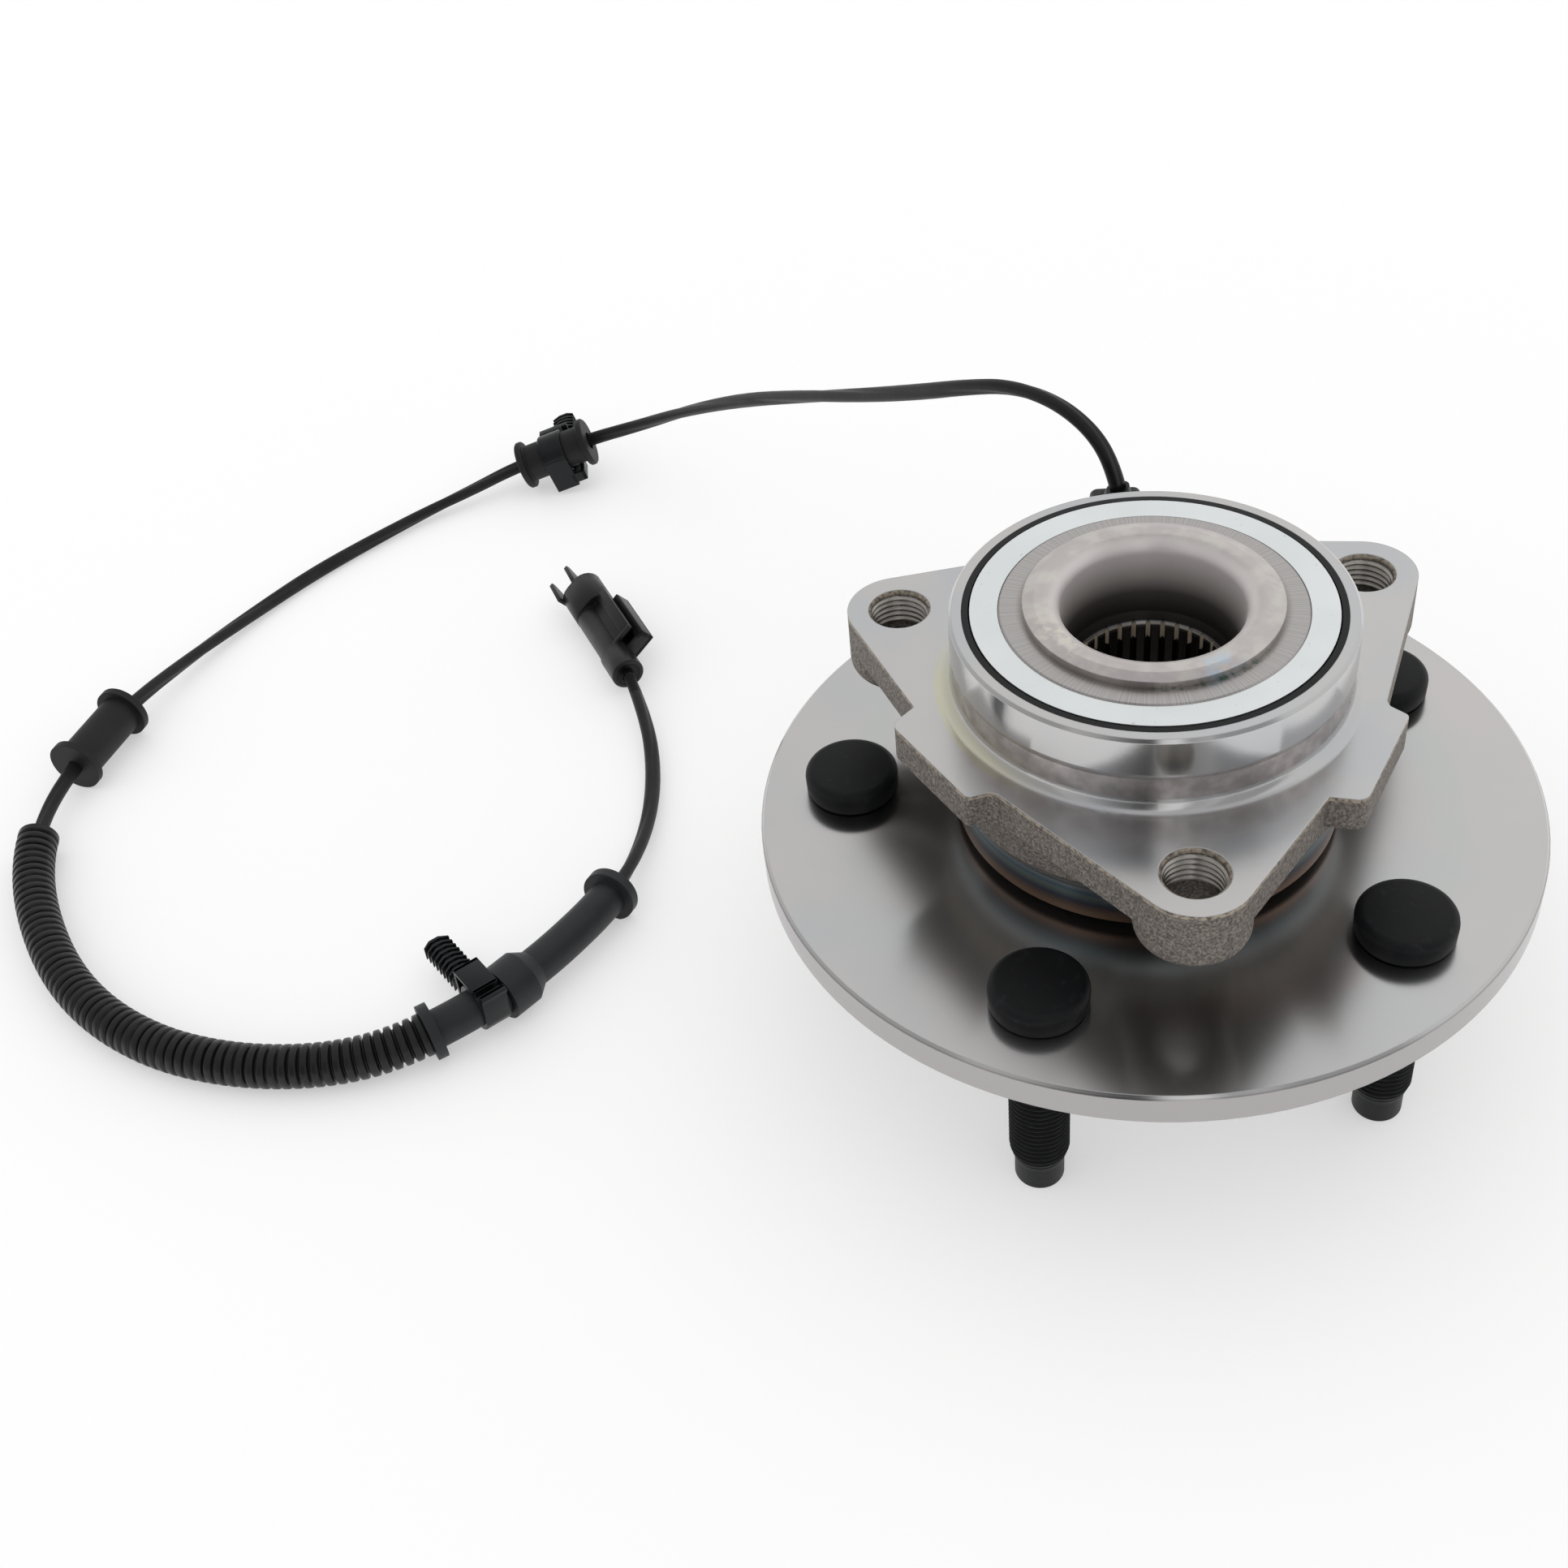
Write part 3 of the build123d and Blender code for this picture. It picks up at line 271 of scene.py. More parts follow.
# %% The forged and turned outer ring
def knuckle_ring_steel():
    f = Finish("knuckle_ring_steel")
    h, r = f.z * 1000, f.radius * 1000
    fine, broad, cloud = f.lines(9000), f.lines(900, 3.0), f.noise(45, 3.0)
    grain, pits = f.noise(1500, 4.0, 0.7), f.noise(520, 3.0)
    above_face = f.between(h, 95.85, 95.95)
    barrel = (1 - above_face) * (1 - f.between(r, 45.5, 46.2))
    turned = f.math("MAXIMUM", above_face, barrel)
    forged_color = f.blend(f.between(grain, 0.35, 0.7), (0.10, 0.088, 0.078), (0.34, 0.305, 0.27))
    forged_color = f.blend(f.between(pits, 0.55, 0.75) * 0.5, forged_color, (0.13, 0.115, 0.10))
    ragged = f.between(f.noise(900, 3.0), 0.35, 0.6)
    burr = f.band(h, 95.1, 95.85, 0.35) * f.between(r, 47, 48) * ragged
    forged_color = f.blend(burr * 0.7, forged_color, (0.55, 0.47, 0.37))
    face_color = f.blend(f.between(cloud, 0.3, 0.7), (0.60, 0.585, 0.57), (0.55, 0.56, 0.575))
    oil = f.band(r, 45.2, 48.2, 0.8) * f.band(h, 95.9, 99.5, 0.4) * f.near((-40, -22, 96), 14, 34)
    face_color = f.blend(oil * 0.55, face_color, (0.62, 0.60, 0.40))
    relief = f.band(h, 99.0, 105.6, 0.25) * (1 - f.between(r, 44.4, 44.75))
    chatter = f.noise(260, 3.0)
    relief_color = f.blend(f.between(chatter, 0.35, 0.7), (0.40, 0.37, 0.36), (0.56, 0.52, 0.51))
    turned_color = f.blend(relief, face_color, relief_color)
    heat = f.ramp(f.between(h, 61.0, 76.0), [
        (0.0, (0.20, 0.125, 0.085)), (0.10, (0.11, 0.075, 0.06)), (0.2, (0.045, 0.05, 0.07)),
        (0.4, (0.13, 0.16, 0.15)), (0.5, (0.08, 0.13, 0.17)), (0.65, (0.24, 0.25, 0.25))])
    turned_color = f.blend(barrel, turned_color, heat)
    # Painted shade: forged surfaces that face downwards are coloured darker
    normal_z = f.parts(f.node("ShaderNodeNewGeometry", out="Normal"))[2]
    painted_underside_shade = f.between(normal_z * -1, 0.2, 0.6)
    forged_color = f.blend(painted_underside_shade * 0.8, forged_color, (0.07, 0.065, 0.06))
    color = f.blend(turned, forged_color, turned_color)
    pilot = f.between(h, 98.9, 99.1)
    smooth = 0.17 - pilot * 0.05 + fine * 0.06 + relief * 0.16 + barrel * 0.08
    relief_height = fine * 0.1 + relief * broad * 0.8
    height = f.mix(turned, grain * 7.0 + pits * 10.0, relief_height)
    return f.done(
        Base_Color=color, Metallic=f.mix(turned, 0.55, 1.0), Roughness=f.mix(turned, 0.58, smooth),
        Normal=f.bump(height, 0.00002, edge=0.3), **TURNED)


# %% The hub: flange, bore and rolled lip
def hub_steel():
    f = Finish("hub_steel")
    h, r = f.z * 1000, f.radius * 1000
    fine, cloud, smear = f.lines(7000), f.noise(30, 3.0), f.noise(160, 3.0)
    tint = f.noise(18, 2.0)
    color = f.blend(f.between(cloud, 0.3, 0.7), (0.60, 0.58, 0.57), (0.56, 0.565, 0.57))
    ring_tint = f.band(r, 66.0, 72.0, 3.0) * f.band(h, 58.5, 60.0, 0.5)
    color = f.blend(ring_tint * f.between(tint, 0.45, 0.6) * 0.35, color, (0.60, 0.50, 0.50))
    color = f.blend(ring_tint * (1 - f.between(tint, 0.4, 0.5)) * 0.3, color, (0.52, 0.58, 0.54))
    color = f.blend(f.between(r, 91.0, 91.2), color, (0.44, 0.42, 0.42))
    lip = f.between(h, 115.0, 115.6)
    lip_color = f.blend(f.between(smear, 0.4, 0.65), (0.55, 0.51, 0.50), (0.63, 0.60, 0.565))
    patch = f.near((17, -22, 117.5), 1.5, 7.0) * f.between(f.noise(350, 3.0), 0.4, 0.6)
    lip_color = f.blend(patch * 0.7, lip_color, (0.52, 0.64, 0.76))
    cream = f.near((-19, -17, 117.5), 3.0, 12.0) * f.between(f.noise(420, 3.0), 0.45, 0.65)
    lip_color = f.blend(cream * 0.6, lip_color, (0.78, 0.74, 0.64))
    color = f.blend(lip, color, lip_color)
    inside = 1 - f.between(r, 20.8, 23.5)
    funnel = inside * f.between(h, 97.3, 98.0)
    # Painted shade: the funnel's wall is coloured darker towards the bottom of the bore, nearly
    # black at its foot
    funnel_shade_color = f.ramp(f.between(h, 97.0, 117.0), [
        (0.0, (0.012, 0.010, 0.009)), (0.35, (0.09, 0.08, 0.075)), (0.65, (0.40, 0.37, 0.355)),
        (1.0, (0.72, 0.68, 0.67))])
    color = f.blend(funnel, color, funnel_shade_color)
    spline_zone = inside * (1 - f.between(h, 97.0, 97.4))
    land = spline_zone * f.between(h, 92.9, 93.3) * f.between(r, 17.2, 17.5)
    color = f.blend(spline_zone, color, (0.045, 0.040, 0.037))
    color = f.blend(land, color, (0.62, 0.55, 0.45))
    rough = (0.17 + fine * 0.05 + spline_zone * 0.2 + land * 0.1 + lip * 0.08 * smear
             + funnel * 0.22)
    return f.done(
        Base_Color=color, Metallic=1 - 0.45 * funnel - 0.75 * land, Roughness=rough,
        Normal=f.bump(fine * 0.1 + lip * smear * 2.0, 0.00002, edge=0.3), **TURNED)


# %% Ground rings, plated steel and coated studs
def ring_steel(name, color, roughness, turned=True):
    f = Finish(name)
    marks = f.lines(6000)
    tone = f.blend(f.between(f.noise(700, 3.0), 0.3, 0.7), color, tuple(c * 0.86 for c in color))
    return f.done(
        Base_Color=tone, Metallic=1.0, Roughness=roughness + marks * 0.12,
        Normal=f.bump(marks * 0.3, 0.00002, edge=0.2), **(TURNED if turned else {}))


def inner_ring_steel():
    """Fine radial sheen, a painted shadow at the foot of the lip, and a little grease squeezed out
    under the lip.
    """
    f = Finish("inner_ring_steel")
    streaks = f.streaks(f.math("ARCTAN2", f.y, f.x) * 90, 3.0)
    r = f.radius * 1000
    shaded_lip_foot = 1 - f.between(r, 28.6, 30.2)
    grease = shaded_lip_foot * f.near((16, -24, 116), 8, 20) * f.between(f.noise(800, 3.0), 0.45, 0.6)
    color = f.blend(f.between(streaks, 0.3, 0.7), (0.40, 0.385, 0.375), (0.52, 0.50, 0.49))
    # Painted shadow: the ring is coloured darker at the foot of the lip
    color = f.blend(shaded_lip_foot * 0.55, color, (0.22, 0.20, 0.185))
    color = f.blend(grease, color, (0.10, 0.16, 0.13))
    return f.done(
        Base_Color=color, Metallic=1.0, Roughness=0.30 + streaks * 0.1,
        Normal=f.bump(streaks, 0.00002, edge=0.2))


def zinc():
    f = Finish("zinc_plate")
    cloud, specks = f.noise(60, 3.0), f.noise(900, 2.0)
    color = f.blend(f.between(cloud, 0.3, 0.7), (0.84, 0.87, 0.87), (0.80, 0.835, 0.84))
    color = f.blend(f.between(specks, 0.70, 0.74) * 0.5, color, (0.45, 0.45, 0.42))
    return f.done(Base_Color=color, Metallic=1.0, Roughness=0.34 + cloud * 0.08,
                  Normal=f.bump(specks, 0.00001, edge=0.15, strength=0.5))


def phosphate():
    """Black coating, slightly worn in places."""
    f = Finish("phosphate")
    grain, wear = f.noise(2500, 3.0), f.noise(500, 3.0)
    color = f.blend(f.between(wear, 0.55, 0.8), (0.004, 0.0045, 0.0055), (0.011, 0.012, 0.0135))
    return f.done(
        Base_Color=color, Metallic=0.0, Roughness=0.42 + wear * 0.12, Specular_IOR_Level=0.22,
        Normal=f.bump(grain * 0.15, 0.00005, edge=0.3))


# %% [markdown]
# ## Rubber and plastic
# Nearly all of these are black, so roughness and relief tell them apart: grommets are matte
# and grainy from their mould, clips are smooth acetal with a soft shine, and the lead's jacket
# sits between the two. The jacket has fine ribs where it enters the connector, so the lead's
# route comes first.

# %% The lead's route, point by point
# It leaves the gland, rises, and comes down to the floor. In millimetres.
ROUTE = [
    (-17.3, 78.4, 92.0), (-19.2, 78.5, 99.8), (-24.9, 79.5, 108.6), (-34.4, 82.2, 114.3),
    (-46.4, 87.1, 114.6), (-59.1, 94.5, 108.8), (-73.6, 105.2, 99.8), (-92.5, 121.2, 87.6),
    (-119.0, 144.0, 71.2), (-145.0, 167.3, 53.7), (-171.2, 187.6, 35.2), (-193.4, 198.7, 20.7),
    (-212.6, 197.3, 14.4), (-236.5, 189.1, 7.1), (-248.5, 176.5, 5.2), (-261.3, 165.1, 3.0),
    (-275.1, 145.7, 2.6), (-287.5, 126.3, 2.4), (-298.3, 103.2, 2.6), (-307.0, 77.5, 4.6),
    (-313.0, 46.5, 8.5), (-315.8, 18.5, 8.4), (-315.4, 0.0, 7.0), (-309.8, -18.0, 6.0),
    (-298.1, -36.3, 6.0), (-280.7, -55.1, 6.0), (-262.1, -67.9, 6.0), (-241.6, -75.5, 6.0),
    (-222.5, -77.6, 6.0), (-204.7, -76.0, 6.0), (-189.0, -71.4, 6.2), (-177.0, -64.6, 6.9),
    (-166.7, -55.3, 7.8), (-156.7, -42.9, 7.8), (-148.7, -28.3, 7.8), (-141.9, -11.7, 7.6),
    (-138.6, 6.3, 5.6), (-139.9, 28.0, 3.2), (-145.0, 49.8, 2.8), (-153.2, 69.6, 5.0),
    (-163.4, 85.4, 7.4),
]
JACKET_RIB_PITCH = 0.8

# %% Rubber and plastic
def moulded(name, color, roughness, grain_size=3000, grain_depth=0.00002, edge=0.25, level=0.35):
    """Cloudy black or coloured plastic with the grain of its mould."""
    f = Finish(name)
    grain, cloud = f.noise(grain_size, 3.0), f.noise(120, 3.0)
    tone = f.blend(f.between(cloud, 0.35, 0.7), color, tuple(c * 1.35 for c in color))
    return f.done(
        Base_Color=tone, Metallic=0.0, Roughness=roughness + cloud * 0.1, Specular_IOR_Level=level,
        Normal=f.bump(grain, grain_depth, edge=edge))


def lead_jacket():
    """Semi-gloss jacket, scuffed by its strip of mould marks, with fine ribs at the connector."""
    f = Finish("lead_jacket")
    cloud, scuff = f.noise(150, 3.0), f.noise(900, 3.0)
    gap = f.distance(ROUTE[-1]) * 1000
    ribs = f.math("SINE", gap * (2 * pi / JACKET_RIB_PITCH)) * f.band(gap, 0.0, 9.0, 0.6)
    color = f.blend(f.between(cloud, 0.35, 0.7), (0.007, 0.007, 0.008), (0.012, 0.0115, 0.012))
    return f.done(
        Base_Color=color, Metallic=0.0, Roughness=0.38 + scuff * 0.12, Specular_IOR_Level=0.32,
        Normal=f.bump(ribs * 5.0 + scuff * 0.6, 0.00005))


# %% [markdown]
# ## Which finish goes where
# Each solid came with the name of its material slot. Most solids take the finish of their
# slot. The few that show several machined surfaces take one made for them, and so does the
# sleeve at the conduit's end, whose rubber is a little lighter.

# %% Finishes on the solids
SLOT_FINISH = {
    "forged_steel": ring_steel("forged_steel", (0.50, 0.475, 0.44), 0.28),
    "bearing_steel": ring_steel("bearing_steel", (0.62, 0.61, 0.60), 0.16),
    "phosphate": phosphate(),
    "zinc_plate": zinc(),
    "seal_rubber": moulded(
        "seal_rubber", (0.003, 0.0035, 0.004), 0.28, 1800, 0.00003, edge=0.15, level=0.25),
    "cage_plastic": moulded("cage_plastic", (0.30, 0.24, 0.14), 0.42),
    "sensor_plastic": moulded(
        "sensor_plastic", (0.006, 0.006, 0.0065), 0.34, 1600, edge=0.3, level=0.38),
    "brass_pin": ring_steel("brass_pin", (0.80, 0.60, 0.30), 0.28, turned=False),
    "lead_jacket": lead_jacket(),
    "grommet_rubber": moulded(
        "grommet_rubber", (0.007, 0.007, 0.0078), 0.50, 2200, 0.00005, edge=0.3, level=0.34),
    "clip_plastic": moulded("clip_plastic", (0.0045, 0.0055, 0.0065), 0.26, 2500, level=0.3),
    "conduit_plastic": moulded(
        "conduit_plastic", (0.005, 0.005, 0.0055), 0.28, 1500, edge=0.0, level=0.36),
}
OWN_FINISH = {
    "outer_ring": knuckle_ring_steel(), "hub_flange": hub_steel(), "inner_ring": inner_ring_steel(),
    "grommet_3": moulded(
        "sleeve_rubber", (0.0105, 0.0115, 0.0135), 0.44, 2200, 0.00005, edge=0.3, level=0.42)}

slot_of = {entry["node"]: entry["material_slot"] for entry in frame["record"]["subparts"]}
for name, solid in solids.items():
    finish = OWN_FINISH.get(name, SLOT_FINISH[slot_of[name]])
    solid.data.materials.clear()
    solid.data.materials.append(finish)
print("finishes:", len(SLOT_FINISH) + len(OWN_FINISH), "on", len(solids), "solids")

# %% [markdown]
# ## The lead
# Two insulated wires lie side by side in one jacket, so the lead isn't round: a shallow
# groove runs along each flat side, and the pair turns slowly as it goes. A smooth curve
# through the air carries it, and a mesh tube with that outline follows the curve's points.

# %% A smooth line through the air, and its points
LEAD_R = 2.2 * MM


def smooth_line(name, points):
    """A NURBS curve through the air with those points as its control points."""
    curve = bpy.data.curves.new(name, "CURVE")
    curve.dimensions = "3D"
    spline = curve.splines.new("NURBS")
    spline.points.add(len(points) - 1)
    for point, place in zip(spline.points, points):
        point.co = (*(c * MM for c in place), 1.0)
    spline.order_u = 3
    spline.use_endpoint_u = True
    curve.resolution_u = 10
    return bpy.data.objects.new(name, curve)


def points_of(line):
    """The points that Blender itself puts along such a curve."""
    return [vertex.co.copy() for vertex in bpy.data.meshes.new_from_object(line).vertices]


def place_mesh(name, mesh, finish=None):
    """An object for a mesh, smooth shaded, at the origin."""
    if finish:
        mesh.materials.clear()
        mesh.materials.append(finish)
    mesh.shade_smooth()
    thing = bpy.data.objects.new(name, mesh)
    bpy.context.scene.collection.objects.link(thing)
    return thing


lead_points = points_of(smooth_line("lead_line", ROUTE))
print("lead:", len(lead_points), "points")

# %% The jacket as a mesh tube
LOBE_STEPS = 28
FLATTENED, GROOVE_DEPTH, GROOVE_START = 0.17, 0.13, 0.86
TWIST_PER_METRE = 5.0


def jacket_outline():
    """Two lobes side by side: full width across them and a groove on each flat side."""
    outline = []
    for step in range(LOBE_STEPS):
        turn = 2 * pi * step / LOBE_STEPS
        side = abs(sin(turn))
        groove = max(0.0, (side - GROOVE_START) / (1 - GROOVE_START)) ** 1.5
        radius = LEAD_R * (1 - FLATTENED * side ** 2 - GROOVE_DEPTH * groove)
        outline.append((radius * cos(turn), radius * sin(turn)))
    return outline


def tube_along(points, outline, twist=0.0):
    """Sweeps a closed outline along points and closes both ends."""
    shape = bmesh.new()
    rings, travelled = [], 0.0
    forward = (points[1] - points[0]).normalized()
    side = forward.orthogonal().normalized()
    for number, point in enumerate(points):
        ahead_point = points[min(number + 1, len(points) - 1)]
        behind_point = points[max(number - 1, 0)]
        forward = (ahead_point - behind_point).normalized()
        side = (side - forward * side.dot(forward)).normalized()
        other = forward.cross(side)
        if number:
            travelled += (point - points[number - 1]).length
        turn = twist * travelled
        u = side * cos(turn) + other * sin(turn)
        v = other * cos(turn) - side * sin(turn)
        rings.append([shape.verts.new(point + u * x + v * y) for x, y in outline])
    for first, second in zip(rings, rings[1:]):
        for number in range(len(outline)):
            after = (number + 1) % len(outline)
            shape.faces.new((first[number], first[after], second[after], second[number]))
    shape.faces.new(reversed(rings[0]))
    shape.faces.new(rings[-1])
    bmesh.ops.recalc_face_normals(shape, faces=shape.faces)
    mesh = bpy.data.meshes.new("swept")
    shape.to_mesh(mesh)
    shape.free()
    return mesh


lead = place_mesh(
    "sensor_lead", tube_along(lead_points, jacket_outline(), TWIST_PER_METRE * 2 * pi),
    SLOT_FINISH["lead_jacket"])
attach(lead, "knuckle_side")
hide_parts("sensor_cable")

# %% [markdown]
# ## Patterns with Geometry Nodes
# A thread or a rib is one small form repeated by rule. Geometry Nodes say the rule once, and
# the sizes stay as named inputs. Each tree is run on a base mesh, and its result is kept as
# a plain mesh, because what leaves Blender must be real faces.

# %% A pattern tree
class Pattern(Tree):
    """A Geometry Nodes tree that is being made, with named inputs for its sizes in metres."""

    def __init__(self, name, **sizes):
        super().__init__(bpy.data.node_groups.new(name, "GeometryNodeTree"))
        face = self.tree.interface
        face.new_socket("Base", in_out="INPUT", socket_type="NodeSocketGeometry")
        face.new_socket("Result", in_out="OUTPUT", socket_type="NodeSocketGeometry")
        self.keys = {
            label: face.new_socket(label, in_out="INPUT", socket_type="NodeSocketFloat").identifier
            for label in sizes}
        self.sizes = sizes
        entry = self.tree.nodes.new("NodeGroupInput")
        self.base = Value(self, entry.outputs["Base"])
        self.size = {label: Value(self, entry.outputs[label]) for label in sizes}

    def around(self, item, count, radius, first_angle):
        """Copies of an item standing on a circle about the spin axis."""
        circle = self.node("GeometryNodeMeshCircle", None, {"Vertices": count, "Radius": radius})
        turned = self.node("GeometryNodeTransform", None, {
            "Geometry": circle, "Rotation": (0.0, 0.0, radians(first_angle))})
        return self.node("GeometryNodeInstanceOnPoints", None, {"Points": turned, "Instance": item})

    def join(self, first, second):
        joined = self.node("GeometryNodeJoinGeometry", None, {0: first})
        self.tree.links.new(second.socket, joined.socket.node.inputs[0])
        return joined

    def run(self, name, base, result, finish):
        """Ends the tree, runs it on the base mesh and keeps a plain mesh."""
        real = self.node("GeometryNodeRealizeInstances", None, {0: result})
        coated = self.node("GeometryNodeSetMaterial", None, {"Geometry": real, "Material": finish})
        self.tree.links.new(coated.socket, self.tree.nodes.new("NodeGroupOutput").inputs[0])
        holder = bpy.data.objects.new(name + "_base", base)
        bpy.context.scene.collection.objects.link(holder)
        modifier = holder.modifiers.new("pattern", "NODES")
        modifier.node_group = self.tree
        for label, value in self.sizes.items():
            modifier[self.keys[label]] = value
        graph = bpy.context.evaluated_depsgraph_get()
        mesh = bpy.data.meshes.new_from_object(holder.evaluated_get(graph))
        bpy.data.objects.remove(holder)
        piece = place_mesh(name, mesh)
        print(name, "has", len(mesh.polygons), "faces")
        return piece


# %% [markdown]
# ## Screw threads
# The studs and the tapped holes have the same M14 x 1.5 thread. A flat grid is rolled into a
# tube, and its radius follows a zigzag of height minus turn, which is exactly a helix. The
# outside thread is cut into the stud, and the inside one into the hole's wall.

# %% A rolled grid with a helical zigzag
THREAD_PITCH = 1.5 * MM
THREAD_STEPS = 36
ROWS_PER_PITCH = 8
ROOT_FLAT, CREST_FLAT = 0.12, 0.84
RUNOUT, TAPER = 1.0 * MM, 0.27
WHOLE_TURNS = 10.0
SEAM = 0.01 * MM


def thread(tree, sense, length, tapered=False):
    """A threaded tube from the tree's sizes: sense 1 faces outwards, -1 inwards."""
    rows = int(length / THREAD_PITCH * ROWS_PER_PITCH)
    grid = tree.node("GeometryNodeMeshGrid", None, {
        "Size X": 2 * pi, "Size Y": tree.size["Length"], "Vertices X": THREAD_STEPS + 1,
        "Vertices Y": rows})
    flat_x, flat_y, _ = tree.parts(tree.node("GeometryNodeInputPosition"))
    turn = flat_x * sense
    along = flat_y + tree.size["Length"] * 0.5
    phase = tree.math("FRACT", along / tree.size["Pitch"] - turn / (2 * pi) + WHOLE_TURNS)
    zigzag = tree.math("ABSOLUTE", phase - 0.5) * 2
    cut = tree.node("ShaderNodeMapRange", None, {
        "Value": zigzag, "From Min": ROOT_FLAT, "From Max": CREST_FLAT})
    ends = 1 - tree.between(along, length - RUNOUT, length)
    radius = tree.size["Root"] + (tree.size["Crest"] - tree.size["Root"]) * cut * ends
    if tapered:
        radius = tree.math("MINIMUM", radius, tree.size["Tip"] + along * TAPER)
    place = tree.node("ShaderNodeCombineXYZ", None, {
        "X": radius * tree.math("COSINE", turn), "Y": radius * tree.math("SINE", turn),
        "Z": along + tree.size["Start"]})
    rolled = tree.node("GeometryNodeSetPosition", None, {"Geometry": grid, "Position": place})
    return tree.node("GeometryNodeMergeByDistance", None, {
        "Geometry": rolled, "Distance": SEAM})


def lathe(profile, steps=48):
    """A closed body turned from its half outline, given in millimetres from axis to axis."""
    shape = bmesh.new()
    rings = []
    for radius, height in profile:
        count = steps if radius else 1
        turns = [2 * pi * n / steps for n in range(count)]
        rings.append([shape.verts.new((
            radius * MM * cos(turn), radius * MM * sin(turn), height * MM)) for turn in turns])
    for low, high in zip(rings, rings[1:]):
        for n in range(steps):
            corners = [low[n % len(low)], low[(n + 1) % len(low)],
                       high[(n + 1) % len(high)], high[n % len(high)]]
            shape.faces.new(list(dict.fromkeys(corners)))
    bmesh.ops.recalc_face_normals(shape, faces=shape.faces)
    mesh = bpy.data.meshes.new("turned")
    shape.to_mesh(mesh)
    shape.free()
    return mesh


# %% The five wheel studs
STUD_CIRCLE_R, STUD_FIRST_ANGLE = 69.85, -30
STUD_ROOT_R, STUD_R, STUD_TIP_R = 6.1, 7.0, 5.75
STUD_TIP_LENGTH, STUD_THREAD_END = 6.5, 44.0
HEAD_R, HEAD_FOOT_Z, HEAD_TOP_Z, HEAD_ROUND = 11.17, 59.07, 65.47, 2.0


def stud_outline():
    """Tip, a core under the thread, the plain shank and the round head."""
    rim = [(HEAD_R - HEAD_ROUND * (1 - sin(t)), HEAD_TOP_Z - HEAD_ROUND * (1 - cos(t)))
           for t in (pi / 2, pi / 2.6, pi / 3.6, pi / 6, pi / 12, 0)]
    return [
        (0, 0), (STUD_TIP_R - 0.6, 0), (STUD_TIP_R - 0.18, 0.18), (STUD_TIP_R, 0.6),
        (STUD_TIP_R, STUD_THREAD_END - 0.6), (STUD_R, STUD_THREAD_END), (STUD_R, HEAD_FOOT_Z),
        (HEAD_R - 1.3, HEAD_FOOT_Z), (HEAD_R - 0.5, HEAD_FOOT_Z + 0.35),
        (HEAD_R - 0.1, HEAD_FOOT_Z + 1.2), *rim, (0, HEAD_TOP_Z)]


thread_length = (STUD_THREAD_END - STUD_TIP_LENGTH) * MM
stud_tree = Pattern(
    "wheel_stud_pattern", Pitch=THREAD_PITCH, Root=STUD_ROOT_R * MM, Crest=STUD_R * MM,
    Start=STUD_TIP_LENGTH * MM, Length=thread_length,
    Tip=(STUD_TIP_R + 0.05) * MM, Circle=STUD_CIRCLE_R * MM)
stud = stud_tree.join(thread(stud_tree, 1, thread_length, tapered=True), stud_tree.base)
wheel_studs = stud_tree.run(
    "wheel_studs", lathe(stud_outline()),
    stud_tree.around(stud, 5, stud_tree.size["Circle"], STUD_FIRST_ANGLE),
    SLOT_FINISH["phosphate"])
wheel_studs.data.set_sharp_from_angle(angle=radians(35))
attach(wheel_studs, "hub")
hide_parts(*(f"wheel_stud_{number}" for number in range(1, 6)))

# %% [markdown]
# ## The tapped holes
# Three bolts hold the bearing to the knuckle. The solid ring has plain drilled holes at the
# thread's inner width, so a copy of the ring takes its place with the walls of those holes
# moved out, and threads stand in the room that this leaves.

# %% The ring with its holes opened for a thread
BOLT_CIRCLE_R, BOLT_FIRST_ANGLE, BOLT_HOLE_R, BOLT_ROOT_R = 63.2, 45, 6.25, 6.95
KNUCKLE_FACE_Z, BOLT_SINK_DEPTH, WEB_UNDERSIDE_Z = 96.0, 1.2, 87.4
ON_THE_WALL = 0.02

ring_mesh = solids["outer_ring"].data.copy()
moved = 0
for number in range(3):
    angle = radians(BOLT_FIRST_ANGLE + 120 * number)
    axis = Vector((cos(angle), sin(angle))) * BOLT_CIRCLE_R * MM
    for vertex in ring_mesh.vertices:
        away = vertex.co.xy - axis
        if abs(away.length - BOLT_HOLE_R * MM) < ON_THE_WALL * MM:
            vertex.co.xy = axis + away.normalized() * BOLT_ROOT_R * MM
            moved += 1
print("hole wall corners moved:", moved)
knuckle_ring = bpy.data.objects.new("knuckle_ring", ring_mesh)
bpy.context.scene.collection.objects.link(knuckle_ring)
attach(knuckle_ring, "knuckle_side")
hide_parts("outer_ring")

# %% Threads in the holes
hole_length = (KNUCKLE_FACE_Z - BOLT_SINK_DEPTH - WEB_UNDERSIDE_Z) * MM
hole_tree = Pattern(
    "tapped_hole_pattern", Pitch=THREAD_PITCH, Root=(BOLT_ROOT_R + 0.03) * MM,
    Crest=BOLT_HOLE_R * MM, Start=WEB_UNDERSIDE_Z * MM, Length=hole_length,
    Circle=BOLT_CIRCLE_R * MM)
threads = hole_tree.around(
    thread(hole_tree, -1, hole_length), 3, hole_tree.size["Circle"], BOLT_FIRST_ANGLE)
bolt_threads = hole_tree.run(
    "bolt_threads", bpy.data.meshes.new("no_base"), threads, SLOT_FINISH["forged_steel"])
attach(bolt_threads, "knuckle_side")

